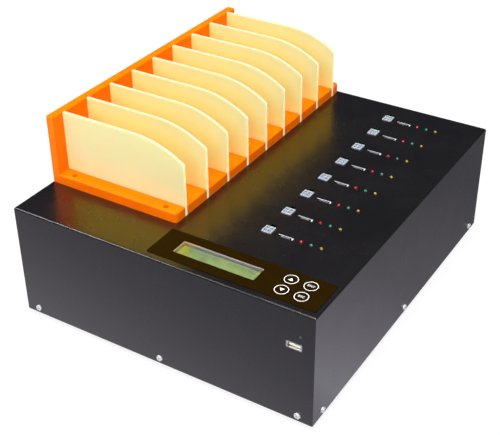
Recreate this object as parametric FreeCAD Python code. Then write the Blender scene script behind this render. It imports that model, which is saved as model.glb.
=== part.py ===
import FreeCAD, Part
import math
import os

# Hard-drive duplicator: a sheet-steel control case with an orange drive rack on its top.
# Row frame: +X to the right along the front, +Y towards the rear, +Z up.
# Origin: middle of the footprint, on the surface that the rubber feet stand on.
# Every length is in millimetres.

V = FreeCAD.Vector
UP = V(0, 0, 1)
DOWN = V(0, 0, -1)
REARWARD = V(0, 1, 0)
FORWARD = V(0, -1, 0)
RIGHTWARD = V(1, 0, 0)
LEFTWARD = V(-1, 0, 0)

over = 1.0                # a cutting tool runs this far past the material
pick = 0.5                # an edge this near to a plane belongs to it
touch = 1e-3              # two points this near are the same

# ------------------------------------------------------------------ driving sizes
# Sheet-metal case
case_w = 315.0            # outside width of the cover
case_h = 115.5            # outside height of the cover, without the feet
sheet_t = 1.2             # steel sheet of the cover, tray and rear panel
fold_r = 0.4              # inside radius of the folds round the top
seam_r = 0.6              # ground weld at the two upright front corners
nest_gap = 0.2            # room between one sheet and the next
lip_w = 11.0              # lip of the cover that frames the rear opening
tray_lip_h = 12.0         # upturned edge of the base tray
relief_w = 2.5            # notch at each corner of the tray where two folds meet

# Rubber feet
foot_h = 5.0
foot_r = 9.0              # where the foot meets the tray
foot_tip_r = 7.5
foot_inset = 30.0         # centre of a foot from the two nearest sides of the case
foot_recess_r = 4.0       # well that hides the screw head
foot_recess_h = 2.6

# Machine screws, all M3
shank_r = 1.5
screw_gap = 0.12          # room round a shank or a sunk head
pan_head_r = 3.0
pan_head_h = 1.8
pan_edge_h = 0.7          # upright rim below the crown of a pan head
pan_crown_steps = 3       # bevels that make up the crown
cap_head_r = 2.6          # cap screws that are sunk in the rack base
cap_head_h = 2.5
shank_past = 3.0          # how far a shank comes through what it holds
cover_screw_z = 6.0       # height of the screw row above the foot of the cover
front_screw_inset = 14.5
side_screw_inset = 17.5
panel_screw_inset = 34.0  # rear panel screws, from each side of the case

# Drive rack
rack_front = 55.0         # front of the case to the front of the rack
rack_w = 143.5            # left side of the case to the open ends of the bays
rack_wall_t = 9.0
rack_h = 69.5             # top of the rack wall above the top of the case
rack_base_t = 9.8
front_strip = 14.2        # solid strip of the base before the first divider
rear_strip = 12.8         # solid strip behind the last one
bay_count = 8
bay_pitch = 35.0
divider_t = 3.0
slot_gap = 0.15           # room on each side of a divider in its slot
comb_spine = 12.0         # part of the base beside the wall that the slots don't reach
rack_corner_r = 4.0
wall_corner_r = 2.5
rack_chamfer = 0.7
divider_flat = 79.0       # straight top of a divider, from the wall to the shoulder
shoulder_r = 97.0         # long curve down to the open end
divider_corner_r = 4.0
rack_screw_from_wall = 14.0
rack_screw_from_end = 15.5
rack_screw_from_edge = 6.4
counterbore_h = 6.5
wall_screw_depth = 10.0
wall_screw_from_left = 5.0  # left side of the case to the screws of the rack wall
wall_screw_count = 4

# Port rows, one for each bay
port_row_lead = 0.8       # a row of ports sits this far in front of the middle of its bay
power_from_rack = 75.1    # open end of the rack to the middle of the power header
sata_from_power = 18.4
led_from_sata = 15.6
led_pitch = 10.0
power_row_offset = 1.75   # the power header sits this far behind its row
header_gap = 0.25         # room round a header in its cut-out
power_w = 9.6
power_d = 10.0
power_rise = 0.8          # how far the power header stands above the case
pocket_pitch = 4.2
pocket_w = 3.5
pocket_depth = 7.5
pocket_chamfer = 0.9
power_pin_w = 1.0
power_pin_drop = 2.2      # tip of a pin below the mouth of its pocket
latch_w = 3.4
latch_t = 0.8
latch_h = 3.0
latch_drop = 1.0          # top of the latch below the rim of the header
latch_notch_w = 4.4
latch_notch_d = 6.2       # rounded notch behind the header
sata_w = 18.3
sata_d = 4.9
sata_drop = 0.3           # rim of the data header below the top of the case
sata_wall = 0.7
sata_depth = 6.0
tongue_t = 1.1
tongue_from_back = 0.9    # gap between the tongue and the rear wall of its socket
tongue_end_gap = 0.9
tongue_foot = 2.4         # short leg of the L at the right-hand end
contact_count = 7
contact_pitch = 1.27
contact_w = 0.7
contact_t = 0.3
board_drop = 9.0          # top of the case down to the face of the port board
board_t = 1.6
board_margin = 8.0        # board beyond the outermost part on it
led_r = 1.5
led_rim_r = 1.9
led_rim_h = 1.0
led_len = 5.3             # rim to the tip of the dome
led_rise = 1.3            # tip of the dome above the case
led_gap = 0.12
lead_w = 0.5
lead_pitch = 2.54

# Control panel
overlay_t = 0.5
overlay_from_right = 4.2
overlay_from_front = 6.9
overlay_corner_r = 1.5
window_w = 81.0
window_d = 18.1
window_from_left = 20.3   # left edge of the overlay to the window
window_margin = 10.9      # overlay in front of the window, and behind it
gasket_t = 1.2            # wall of the foam frame that lines the window
gasket_gap = 0.15
display_drop = 1.3        # top of the case down to the display bezel
bezel_past_end = 1.5      # bezel beyond each end of the window
bezel_past_side = 3.0     # bezel in front of the window, and behind it
bezel_h = 4.5
bezel_lip_t = 2.4         # rim of the bezel above the glass
bezel_lip = 0.8           # width of the bezel seen inside the window
glass_margin = 1.5        # glass under the lip of the bezel
display_board_margin = 6.5  # board round the bezel

# Keys
key_r = 7.2
key_gap = 0.3
key_rise = 0.2            # top of a key above the overlay
key_travel = 0.5
key_pitch_x = 18.6
key_pitch_y = 16.2
keys_from_window = 35.6   # right end of the window to the middle of the four keys
keys_from_right = 28.7    # right edge of the overlay to the middle of the keys
key_ear_w = 17.6          # two ears under the cover keep a key in
key_ear_d = 6.0
key_ear_t = 0.8
key_ear_gap = 0.1
key_stem_r = 1.6
key_board_margin = 11.5   # board beyond the middles of the outer keys
tact_w = 6.0
tact_h = 3.5
tact_bore_gap = 0.3
stem_in_tact = 0.5        # end of the stem inside the switch, at rest
stem_to_floor = 0.5       # end of the stem above the floor of its bore, pressed

# Service port and status lamp on the front
usb_from_right = 18.9
usb_below_top = 34.8      # middle of the port below the top of the case
usb_w = 13.2
usb_h = 5.9
usb_len = 14.0
usb_sheet_t = 0.4
usb_flare_side = 1.0      # rolled mouth beyond the sides of the shell
usb_flare_top = 0.5       # rolled mouth above and below the shell
usb_flare_t = 0.6
usb_gap = 0.2
usb_tongue_gap = 0.65     # tongue to the shell on each side
usb_tongue_t = 1.9
usb_tongue_drop = 0.8     # middle of the tongue below the middle of the shell
usb_tongue_back = 1.5     # front of the tongue behind the mouth
usb_contact_w = 1.1
usb_contact_t = 0.25
usb_contact_len = 7.0
usb_contact_count = 4
usb_contact_pitch = 2.3
usb_board_w = 30.0
usb_board_below = 14.0    # board below the middle of the port
usb_board_above = 6.0     # board above the middle of the lamp
status_from_usb = 5.5     # lamp to the right of the port
status_above_usb = 10.5

# Rear panel: mains inlet, power switch, fan
inlet_x = 70.0            # from the left side of the case
inlet_below_top = 31.5    # middle of the inlet and of the switch
inlet_flange_w = 31.0
inlet_flange_h = 24.5
inlet_flange_t = 2.2
inlet_body_w = 27.4
inlet_body_h = 19.8
inlet_body_len = 19.0
inlet_wall = 1.6
inlet_cavity_depth = 16.0 # from the face of the flange
inlet_chamfer = 4.5
inlet_corner_r = 2.0
blade_w = 2.0
blade_h = 4.0
blade_pitch = 14.0        # line to neutral
blade_offset = 2.0        # earth this far above the middle, the others below
blade_recess = 1.5
blade_tail = 7.0
switch_x = 112.0
switch_rim = 0.9          # flange beyond the body on every side
switch_flange_t = 1.8
switch_body_w = 12.9
switch_body_h = 19.4
switch_body_len = 14.0
switch_wall = 0.7
switch_cavity_depth = 12.0
switch_corner_r = 1.2
rocker_gap = 0.3
rocker_tilt = 10.0        # each way from the middle
rocker_crest = 3.9        # ends of the rocker face above the pivot
rocker_valley = 2.4       # middle of the face above the pivot
rocker_depth = 5.0        # body of the rocker below the pivot
pivot_in = 1.5            # pivot below the outside of the rear panel
trunnion_r = 1.5
trunnion_gap = 0.06
cutout_gap = 0.2
fan_from_right = 77.0     # right side of the case to the middle of the fan
fan_w = 80.0
fan_t = 25.0
fan_rim = 2.0             # bore to the side of the frame
fan_duct_t = 1.6
fan_flange_t = 4.0
fan_corner_r = 4.0
fan_hole_inset = 4.25     # screw holes, from the sides of the frame
fan_hole_r = 2.15
fan_tip_gap = 1.0
hub_r = 16.0
hub_wall = 1.6
hub_len = 18.0
hub_end_gap = 1.0         # cup of the rotor to the mount
mount_disc_r = 15.0
mount_disc_t = 3.0
strut_w = 3.0
strut_count = 4
shaft_r = 1.5
shaft_gap = 0.05
blade_count = 7
root_chord = 15.0
tip_chord = 24.0
root_pitch_deg = 42.0
tip_pitch_deg = 24.0
fan_blade_t = 1.5
fan_blade_edge_t = 0.5
camber = 0.09             # of the chord
grille_cell = 7.6         # across the flats of a hexagonal hole
grille_web = 1.6
vent_w = 3.0
vent_len = 26.0
vent_pitch = 6.0
vent_count = 8
vent_below_inlet = 42.0

# Inside
psu_w = 115.0
psu_len = 210.0
psu_h = 50.0
psu_t = 1.2
psu_from_left = 22.0
psu_from_front = 85.0
terminal_h = 18.0
terminal_d = 15.0
terminal_ways = 9
terminal_wall = 1.2
main_board_d = 170.0
main_board_from_psu = 30.0
main_board_from_right = 18.0
main_board_from_front = 75.0
main_board_lift = 8.0
sink_w = 42.0
sink_h = 18.0
sink_floor = 3.0
sink_fin_t = 1.4
sink_fin_count = 9
spacer_r = 2.6            # across the corners of a hexagonal spacer
spacer_inset = 3.5        # centre of a spacer from the edges of its board

# ------------------------------------------------------------------ places that follow
rack_len = front_strip + bay_count * bay_pitch + divider_t + rear_strip
case_d = rack_front + rack_len
left = -case_w / 2
right = case_w / 2
front = -case_d / 2
back = case_d / 2
bottom = foot_h
top = foot_h + case_h
under = top - sheet_t                     # inner face of the cover's top
bend_r = fold_r + sheet_t                 # outside radius of those folds
floor_z = bottom + sheet_t                # upper face of the tray's floor
panel_in = back - sheet_t                 # inner face of the rear panel
wall_in = left + rack_wall_t              # face of the rack wall that the dividers meet
rack_end = left + rack_w
rack_y0 = front + rack_front
rack_floor = top + rack_base_t
rack_top = top + rack_h
power_x = rack_end + power_from_rack
sata_x = power_x + sata_from_power
led_x = sata_x + led_from_sata
board_z = top - board_drop
overlay_x1 = right - overlay_from_right
overlay_y0 = front + overlay_from_front
overlay_y1 = overlay_y0 + window_d + 2 * window_margin
keys_x = overlay_x1 - keys_from_right
keys_y = (overlay_y0 + overlay_y1) / 2
window_x = keys_x - keys_from_window - window_w / 2
window_y = keys_y
overlay_x0 = window_x - window_w / 2 - window_from_left
bezel_w = window_w + 2 * bezel_past_end
bezel_d = window_d + 2 * bezel_past_side
display_board_w = bezel_w + 2 * display_board_margin
display_board_d = bezel_d + 2 * display_board_margin
key_board_w = key_pitch_x + 2 * key_board_margin
key_board_d = key_pitch_y + 2 * key_board_margin
usb_x = right - usb_from_right
usb_mid_z = top - usb_below_top
usb_tongue_w = usb_w - 2 * (usb_sheet_t + usb_tongue_gap)
status_x = usb_x + status_from_usb
status_z = usb_mid_z + status_above_usb
front_in = front + sheet_t
inlet_cx = left + inlet_x
inlet_cz = top - inlet_below_top
inlet_cavity_w = inlet_body_w - 2 * inlet_wall
inlet_cavity_h = inlet_body_h - 2 * inlet_wall
switch_cx = left + switch_x
switch_flange_w = switch_body_w + 2 * switch_rim
switch_flange_h = switch_body_h + 2 * switch_rim
switch_cavity_w = switch_body_w - 2 * switch_wall
switch_cavity_h = switch_body_h - 2 * switch_wall
pivot_y = back - pivot_in
fan_cx = right - fan_from_right
fan_cz = (bottom + tray_lip_h + board_z - board_t) / 2   # between the tray's lip and the port board
fan_bore_r = fan_w / 2 - fan_rim
fan_hole_pitch = fan_w - 2 * fan_hole_inset
key_hole_r = key_r + key_gap
key_board_z = board_z
key_tip_z = key_board_z + tact_h - stem_in_tact
tact_bore_h = stem_in_tact + key_travel + stem_to_floor


# ------------------------------------------------------------------ helpers
def block(x0, x1, y0, y1, z0, z1):
    """Box between two opposite corners."""
    return Part.makeBox(x1 - x0, y1 - y0, z1 - z0, V(x0, y0, z0))


def centred(cx, cy, w, d, z0, z1):
    """Box centred on a point in plan."""
    return block(cx - w / 2, cx + w / 2, cy - d / 2, cy + d / 2, z0, z1)


def in_wall(cx, cz, w, h, y0, y1):
    """Box centred on a point of an upright wall that faces along Y."""
    return block(cx - w / 2, cx + w / 2, y0, y1, cz - h / 2, cz + h / 2)


def edges_along(shape, axis):
    """Straight edges of a shape that run along one axis."""
    found = []
    for edge in shape.Edges:
        run = edge.Vertexes[-1].Point.sub(edge.Vertexes[0].Point)
        if run.Length > touch and abs(abs(run.dot(axis)) - run.Length) < touch:
            found.append(edge)
    return found


def prism(points, depth):
    """Solid from a flat closed outline and the vector that it is pushed along."""
    return Part.Face(Part.makePolygon(points + [points[0]])).extrude(depth)


def revolved(profile, base, axis):
    """Solid turned from (radius, height) points about an axis through base."""
    points = [V(r, 0, h) for r, h in profile]
    solid = Part.Face(Part.makePolygon(points + [points[0]])).revolve(V(0, 0, 0), UP, 360)
    solid.Placement = FreeCAD.Placement(base, FreeCAD.Rotation(UP, axis))
    return solid


def hexagon(cx, cz, flats, y0, y1):
    """Hexagonal bar along Y."""
    corner = flats / math.sqrt(3)
    points = []
    for i in range(6):
        a = math.radians(60 * i + 30)
        points.append(V(cx + corner * math.cos(a), y0, cz + corner * math.sin(a)))
    return prism(points, V(0, y1 - y0, 0))


def spacer(base, axis, length):
    """Hexagonal threaded spacer."""
    points = []
    for i in range(6):
        a = math.radians(60 * i)
        points.append(V(spacer_r * math.cos(a), spacer_r * math.sin(a), 0))
    solid = prism(points, V(0, 0, length))
    solid.Placement = FreeCAD.Placement(base, FreeCAD.Rotation(UP, axis))
    return solid


def pan_screw(seat, axis, length):
    """Pan-head screw: the head stands on seat and the shank runs back along the axis."""
    profile = [(0, -length), (shank_r, -length), (shank_r, 0), (pan_head_r, 0)]
    crown_h = pan_head_h - pan_edge_h
    for step in range(pan_crown_steps):
        a = math.radians(90 * step / pan_crown_steps)
        profile.append((pan_head_r * math.cos(a), pan_edge_h + crown_h * math.sin(a)))
    profile.append((0, pan_head_h))
    return revolved(profile, seat, axis)


def fused(shapes):
    """One solid from shapes that touch or cross."""
    return shapes[0].fuse(shapes[1:]).removeSplitter()


def group(shapes):
    """Separate solids that share one node."""
    return Part.makeCompound(shapes)


def row_y(n):
    """Line through the ports of bay n."""
    clear = bay_pitch - divider_t
    return rack_y0 + front_strip + divider_t + clear / 2 + n * bay_pitch - port_row_lead


def key_places():
    """Name and centre of each key: arrows on the left, commands on the right."""
    dx = key_pitch_x / 2
    dy = key_pitch_y / 2
    return [("key_up", keys_x - dx, keys_y + dy),
            ("key_down", keys_x - dx, keys_y - dy),
            ("key_enter", keys_x + dx, keys_y + dy),
            ("key_escape", keys_x + dx, keys_y - dy)]


def rack_screw_places():
    """Two screws in the front strip and two in the rear strip of the rack base."""
    xs = [wall_in + rack_screw_from_wall, rack_end - rack_screw_from_end]
    ys = [rack_y0 + rack_screw_from_edge, back - rack_screw_from_edge]
    return [(x, y) for x in xs for y in ys]


def wall_screw_places():
    """Screws that come up through the top of the case into the rack wall."""
    x = left + wall_screw_from_left
    step = rack_len / wall_screw_count
    return [(x, rack_y0 + step * (i + 0.5)) for i in range(wall_screw_count)]


def cover_screw_places():
    """Seat and outward axis of each screw round the foot of the cover."""
    z = bottom + cover_screw_z
    places = []
    for x in (left + front_screw_inset, 0, right - front_screw_inset):
        places.append((V(x, front, z), FORWARD))
    for y in (front + side_screw_inset, 0, back - side_screw_inset):
        places.append((V(left, y, z), LEFTWARD))
        places.append((V(right, y, z), RIGHTWARD))
    return places


def panel_screw_places():
    """Screws of the rear panel: two below, two above and one on each side."""
    side_x = case_w / 2 - sheet_t - lip_w / 2
    low = bottom + cover_screw_z
    high = under - lip_w / 2
    x = case_w / 2 - panel_screw_inset
    points = [(-x, low), (x, low), (-x, high), (x, high)]
    points += [(-side_x, (low + high) / 2), (side_x, (low + high) / 2)]
    return points


def foot_places():
    x = case_w / 2 - foot_inset
    y = case_d / 2 - foot_inset
    return [(-x, -y), (x, -y), (-x, y), (x, y)]


def fan_screw_places():
    step = fan_hole_pitch / 2
    return [(fan_cx + i * step, fan_cz + j * step) for i in (-1, 1) for j in (-1, 1)]


# ------------------------------------------------------------------ case
def port_cutouts():
    """Openings in the top for every header and lamp."""
    z0 = under - over
    z1 = top + over
    tools = []
    for n in range(bay_count):
        y = row_y(n)
        power_y = y + power_row_offset
        edge_y = power_y + power_d / 2
        tools.append(centred(power_x, power_y, power_w + 2 * header_gap,
                             power_d + 2 * header_gap, z0, z1))
        notch_y = edge_y + latch_notch_d - latch_notch_w / 2
        tools.append(block(power_x - latch_notch_w / 2, power_x + latch_notch_w / 2,
                           power_y, notch_y, z0, z1))
        tools.append(Part.makeCylinder(latch_notch_w / 2, z1 - z0, V(power_x, notch_y, z0)))
        tools.append(centred(sata_x, y, sata_w + 2 * header_gap, sata_d + 2 * header_gap, z0, z1))
        for i in range(3):
            tools.append(Part.makeCylinder(led_r + led_gap, z1 - z0, V(led_x + i * led_pitch, y, z0)))
    return tools


def cover_cutouts():
    """Openings for the control panel, the rack screws, the front port and all cover screws."""
    z0 = under - over
    height = sheet_t + 2 * over
    hole_r = shank_r + screw_gap
    frame_w = window_w + 2 * (gasket_t + gasket_gap)
    frame_d = window_d + 2 * (gasket_t + gasket_gap)
    tools = [centred(window_x, window_y, frame_w, frame_d, z0, z0 + height)]
    for _, x, y in key_places():
        tools.append(Part.makeCylinder(key_hole_r, height, V(x, y, z0)))
    for x, y in rack_screw_places() + wall_screw_places():
        tools.append(Part.makeCylinder(hole_r, height, V(x, y, z0)))
    tools.append(in_wall(usb_x, usb_mid_z, usb_w + 2 * usb_gap, usb_h + 2 * usb_gap,
                         front - over, front_in + over))
    tools.append(Part.makeCylinder(led_r + led_gap, height, V(status_x, front - over, status_z), REARWARD))
    for seat, axis in cover_screw_places():
        tools.append(Part.makeCylinder(hole_r, height, seat + axis * over, axis * -1))
    lip_y = panel_in - sheet_t
    for x, z in panel_screw_places():
        tools.append(Part.makeCylinder(hole_r, height, V(x, lip_y - over, z), REARWARD))
    return tools


def top_cover():
    """Five-sided hood: top, front and two sides, with a folded lip round the rear opening."""
    hood = block(left, right, front, back, bottom, top)
    folds = [e for e in edges_along(hood, RIGHTWARD) + edges_along(hood, REARWARD)
             if e.CenterOfMass.z > top - pick and e.CenterOfMass.y < back - pick]
    hood = hood.makeFillet(bend_r, folds)
    corners = [e for e in edges_along(hood, UP) if e.CenterOfMass.y < front + pick]
    hood = hood.makeFillet(seam_r, corners)
    room = block(left + sheet_t, right - sheet_t, front_in, back + over, bottom - over, under)
    inner_folds = [e for e in edges_along(room, RIGHTWARD) + edges_along(room, REARWARD)
                   if e.CenterOfMass.z > under - pick and e.CenterOfMass.y < back]
    room = room.makeFillet(fold_r, inner_folds)
    hood = hood.cut(room)
    lip_y0 = panel_in - sheet_t
    lip_z0 = bottom + tray_lip_h + nest_gap
    side = sheet_t + lip_w
    lip = block(left + sheet_t / 2, right - sheet_t / 2, lip_y0, panel_in, lip_z0, top - sheet_t / 2)
    opening = block(left + side, right - side, lip_y0 - over, panel_in + over, lip_z0 - over, under - lip_w)
    hood = fused([hood, lip.cut(opening)])
    return hood.cut(port_cutouts() + cover_cutouts())


def base_tray():
    """Floor with four upturned edges that stand just inside the cover."""
    x0 = left + sheet_t + nest_gap
    x1 = right - sheet_t - nest_gap
    y0 = front_in + nest_gap
    y1 = panel_in
    tray = block(x0, x1, y0, y1, bottom, bottom + tray_lip_h)
    tray = tray.cut(block(x0 + sheet_t, x1 - sheet_t, y0 + sheet_t, y1 - sheet_t,
                          floor_z, bottom + tray_lip_h + over))
    hole_r = shank_r + screw_gap
    tools = []
    for x in (x0, x1):
        for y in (y0, y1):
            tools.append(centred(x, y, 2 * relief_w, 2 * relief_w, bottom - over, bottom + tray_lip_h + over))
    for seat, axis in cover_screw_places():
        tools.append(Part.makeCylinder(hole_r, 2 * (2 * sheet_t + nest_gap), seat + axis * over, axis * -1))
    for x, z in panel_screw_places():
        if z < bottom + tray_lip_h:
            tools.append(Part.makeCylinder(hole_r, 3 * sheet_t, V(x, back, z), FORWARD))
    for x, y in foot_places():
        tools.append(Part.makeCylinder(hole_r, 3 * sheet_t, V(x, y, bottom - sheet_t)))
    return tray.cut(tools)


def grille_holes():
    """Honeycomb of holes inside the circle of the fan."""
    pitch = grille_cell + grille_web
    row_step = pitch * math.sqrt(3) / 2
    reach = fan_bore_r - grille_cell / 2
    rows = int(fan_bore_r / row_step) + 1
    holes = []
    for j in range(-rows, rows + 1):
        shift = pitch / 2 if j % 2 else 0
        for i in range(-rows, rows + 1):
            x = i * pitch + shift
            z = j * row_step
            if math.hypot(x, z) <= reach:
                holes.append(hexagon(fan_cx + x, fan_cz + z, grille_cell, panel_in - over, back + over))
    return holes


def vent_slots():
    """Row of upright cooling slots below the mains inlet."""
    mid_z = inlet_cz - vent_below_inlet
    mid_x = (inlet_cx + switch_cx) / 2
    slots = []
    for i in range(vent_count):
        x = mid_x + (i - (vent_count - 1) / 2) * vent_pitch
        slots.append(in_wall(x, mid_z, vent_w, vent_len, panel_in - over, back + over))
    return slots


def rear_panel():
    """Flat panel inside the rear opening, flush with the edge of the cover."""
    x0 = left + sheet_t + nest_gap
    x1 = right - sheet_t - nest_gap
    panel = block(x0, x1, panel_in, back, bottom, under - nest_gap)
    tools = grille_holes() + vent_slots()
    tools.append(in_wall(inlet_cx, inlet_cz, inlet_body_w + 2 * cutout_gap,
                         inlet_body_h + 2 * cutout_gap, panel_in - over, back + over))
    tools.append(in_wall(switch_cx, inlet_cz, switch_body_w + 2 * cutout_gap,
                         switch_body_h + 2 * cutout_gap, panel_in - over, back + over))
    for x, z in panel_screw_places():
        tools.append(Part.makeCylinder(shank_r + screw_gap, 3 * sheet_t, V(x, back + over, z), FORWARD))
    for x, z in fan_screw_places():
        tools.append(Part.makeCylinder(shank_r + screw_gap, 3 * sheet_t, V(x, back + over, z), FORWARD))
    return panel.cut(tools)


def cover_screws():
    length = 2 * sheet_t + nest_gap + shank_past
    return group([pan_screw(seat, axis, length) for seat, axis in cover_screw_places()])


def rear_panel_screws():
    length = 2 * sheet_t + shank_past
    return group([pan_screw(V(x, back, z), REARWARD, length) for x, z in panel_screw_places()])


def rubber_feet():
    """Tapered feet with a well for the screw head."""
    hole_r = shank_r + screw_gap
    profile = [(foot_recess_r, 0), (foot_tip_r, 0), (foot_r, foot_h), (hole_r, foot_h),
               (hole_r, foot_recess_h), (foot_recess_r, foot_recess_h)]
    return group([revolved(profile, V(x, y, 0), UP) for x, y in foot_places()])


def foot_screws():
    length = foot_h - foot_recess_h + sheet_t
    return group([pan_screw(V(x, y, foot_recess_h), DOWN, length) for x, y in foot_places()])


# ------------------------------------------------------------------ drive rack
def rack_back_wall():
    """Thick upright wall along the left side, with softened edges and blind screw holes."""
    wall = block(left, wall_in, rack_y0, back, top, rack_top)
    outer = [e for e in edges_along(wall, UP) if e.CenterOfMass.x < left + pick]
    wall = wall.makeFillet(wall_corner_r, outer)
    rim = [e for e in wall.Edges if e.BoundBox.ZMin > rack_top - touch]
    wall = wall.makeChamfer(rack_chamfer, rim)
    holes = [Part.makeCylinder(shank_r + screw_gap, wall_screw_depth + over, V(x, y, top))
             for x, y in wall_screw_places()]
    return wall.cut(holes)


def rack_base():
    """Comb plate: slots for the dividers open at the right-hand end."""
    plate = block(wall_in, rack_end, rack_y0, back, top, rack_floor)
    ends = [e for e in edges_along(plate, UP) if e.CenterOfMass.x > rack_end - pick]
    plate = plate.makeFillet(rack_corner_r, ends)
    rim = [e for e in plate.Edges
           if e.BoundBox.ZMin > rack_floor - touch and e.CenterOfMass.x > wall_in + pick]
    plate = plate.makeChamfer(rack_chamfer, rim)
    tools = []
    for n in range(bay_count + 1):
        y = rack_y0 + front_strip + n * bay_pitch
        tools.append(block(wall_in + comb_spine - slot_gap, rack_end + over,
                           y - slot_gap, y + divider_t + slot_gap, top - over, rack_floor + over))
    for x, y in rack_screw_places():
        tools.append(Part.makeCylinder(shank_r + screw_gap, rack_base_t, V(x, y, top)))
        tools.append(Part.makeCylinder(cap_head_r + screw_gap, counterbore_h,
                                       V(x, y, rack_floor - counterbore_h)))
    return plate.cut(tools)


def divider(n):
    """Sheet between two bays: level top, long curved shoulder, tab down into the slot."""
    y = rack_y0 + front_strip + n * bay_pitch
    shoulder_x = wall_in + divider_flat
    run = rack_end - shoulder_x
    turn = math.asin(run / shoulder_r)
    centre_z = rack_top - shoulder_r

    def on_curve(angle):
        return V(shoulder_x + shoulder_r * math.sin(angle), y, centre_z + shoulder_r * math.cos(angle))

    tip = on_curve(turn)
    tab_x = wall_in + comb_spine
    corners = [V(rack_end, y, top + slot_gap), V(tab_x, y, top + slot_gap),
               V(tab_x, y, rack_floor), V(wall_in, y, rack_floor), V(wall_in, y, rack_top),
               V(shoulder_x, y, rack_top)]
    edges = [Part.LineSegment(a, b).toShape() for a, b in zip(corners, corners[1:])]
    edges.append(Part.Arc(corners[-1], on_curve(turn / 2), tip).toShape())
    edges.append(Part.LineSegment(tip, corners[0]).toShape())
    sheet = Part.Face(Part.Wire(edges)).extrude(V(0, divider_t, 0))
    corner = [e for e in edges_along(sheet, REARWARD) if e.CenterOfMass.distanceToPoint(
        V(tip.x, y + divider_t / 2, tip.z)) < touch]
    return sheet.makeFillet(divider_corner_r, corner)


def rack_screws():
    """Cap screws sunk in the strips of the rack base."""
    seat_z = rack_floor - counterbore_h
    reach = seat_z - under + shank_past
    profile = [(0, -reach), (shank_r, -reach), (shank_r, 0), (cap_head_r, 0),
               (cap_head_r, cap_head_h), (0, cap_head_h)]
    return group([revolved(profile, V(x, y, seat_z), UP) for x, y in rack_screw_places()])


def rack_wall_screws():
    return group([pan_screw(V(x, y, under), DOWN, sheet_t + wall_screw_depth)
                  for x, y in wall_screw_places()])


# ------------------------------------------------------------------ ports
def power_header(y):
    """White four-way header: square pockets with two cut corners each, latch on the rear."""
    cy = y + power_row_offset
    z1 = top + power_rise
    body = centred(power_x, cy, power_w, power_d, board_z, z1)
    tools = []
    for i in (-1, 1):
        for j in (-1, 1):
            px = power_x + i * pocket_pitch / 2
            py = cy + j * pocket_pitch / 2
            pocket = centred(px, py, pocket_w, pocket_w, z1 - pocket_depth, z1 + over)
            if i == j:
                outer = [e for e in edges_along(pocket, UP) if (e.CenterOfMass.y - py) * j > 0]
                pocket = pocket.makeChamfer(pocket_chamfer, outer)
            tools.append(pocket)
    ramp_y = cy + power_d / 2
    latch_x = power_x - latch_w / 2
    latch = prism([V(latch_x, ramp_y, z1 - latch_h), V(latch_x, ramp_y, z1 - latch_drop),
                   V(latch_x, ramp_y + latch_t, z1 - latch_h)], V(latch_w, 0, 0))
    return fused([body.cut(tools), latch])


def power_headers():
    return group([power_header(row_y(n)) for n in range(bay_count)])


def power_pins():
    """Square pins that stand on the floors of the header pockets."""
    pins = []
    foot = top + power_rise - pocket_depth
    tip = top + power_rise - power_pin_drop
    for n in range(bay_count):
        cy = row_y(n) + power_row_offset
        for i in (-1, 1):
            for j in (-1, 1):
                pins.append(centred(power_x + i * pocket_pitch / 2, cy + j * pocket_pitch / 2,
                                    power_pin_w, power_pin_w, foot, tip))
    return group(pins)


def tongue_place(y):
    """Left end, right end and front face of the contact tongue in a data header."""
    half_w = sata_w / 2 - sata_wall - tongue_end_gap
    face = y + sata_d / 2 - sata_wall - tongue_from_back - tongue_t
    return sata_x - half_w, sata_x + half_w, face


def sata_header(y):
    """Data header: thin shell round an L-shaped contact tongue."""
    z1 = top - sata_drop
    floor = z1 - sata_depth
    shell = centred(sata_x, y, sata_w, sata_d, board_z, z1)
    shell = shell.cut(centred(sata_x, y, sata_w - 2 * sata_wall, sata_d - 2 * sata_wall, floor, z1 + over))
    x0, x1, face = tongue_place(y)
    blade = block(x0, x1, face, face + tongue_t, floor - sata_wall, z1)
    leg = block(x1 - tongue_t, x1, face + tongue_t - tongue_foot, face + tongue_t, floor - sata_wall, z1)
    return fused([shell, blade, leg])


def sata_headers():
    return group([sata_header(row_y(n)) for n in range(bay_count)])


def sata_contacts():
    """Flat contacts along the front face of each tongue."""
    pads = []
    z1 = top - sata_drop
    for n in range(bay_count):
        face = tongue_place(row_y(n))[2]
        for i in range(contact_count):
            x = sata_x + (i - (contact_count - 1) / 2) * contact_pitch
            pads.append(block(x - contact_w / 2, x + contact_w / 2, face - contact_t, face,
                              z1 - sata_depth, z1))
    return group(pads)


def lamp(base, axis):
    """Round lamp: rim, barrel and dome."""
    dome_z = led_len - led_r
    points = [V(0, 0, 0), V(led_rim_r, 0, 0), V(led_rim_r, 0, led_rim_h), V(led_r, 0, led_rim_h),
              V(led_r, 0, dome_z)]
    edges = [Part.LineSegment(a, b).toShape() for a, b in zip(points, points[1:])]
    slant = led_r * math.sqrt(0.5)
    tip = V(0, 0, led_len)
    edges.append(Part.Arc(points[-1], V(slant, 0, dome_z + slant), tip).toShape())
    edges.append(Part.LineSegment(tip, points[0]).toShape())
    solid = Part.Face(Part.Wire(edges)).revolve(V(0, 0, 0), UP, 360)
    solid.Placement = FreeCAD.Placement(base, FreeCAD.Rotation(UP, axis))
    return solid


def lamp_column(i):
    """Lamps of one colour, one beside each bay."""
    z = top + led_rise - led_len
    return group([lamp(V(led_x + i * led_pitch, row_y(n), z), UP) for n in range(bay_count)])


def led_leads():
    """Pairs of wires that hold the lamps above the port board."""
    z1 = top + led_rise - led_len
    leads = []
    for n in range(bay_count):
        for i in range(3):
            for side in (-1, 1):
                x = led_x + i * led_pitch + side * lead_pitch / 2
                leads.append(centred(x, row_y(n), lead_w, lead_w, board_z, z1))
    y0 = front - led_rise + led_len
    for side in (-1, 1):
        x = status_x + side * lead_pitch / 2
        leads.append(in_wall(x, status_z, lead_w, lead_w, y0, front + usb_len))
    return group(leads)


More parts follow.
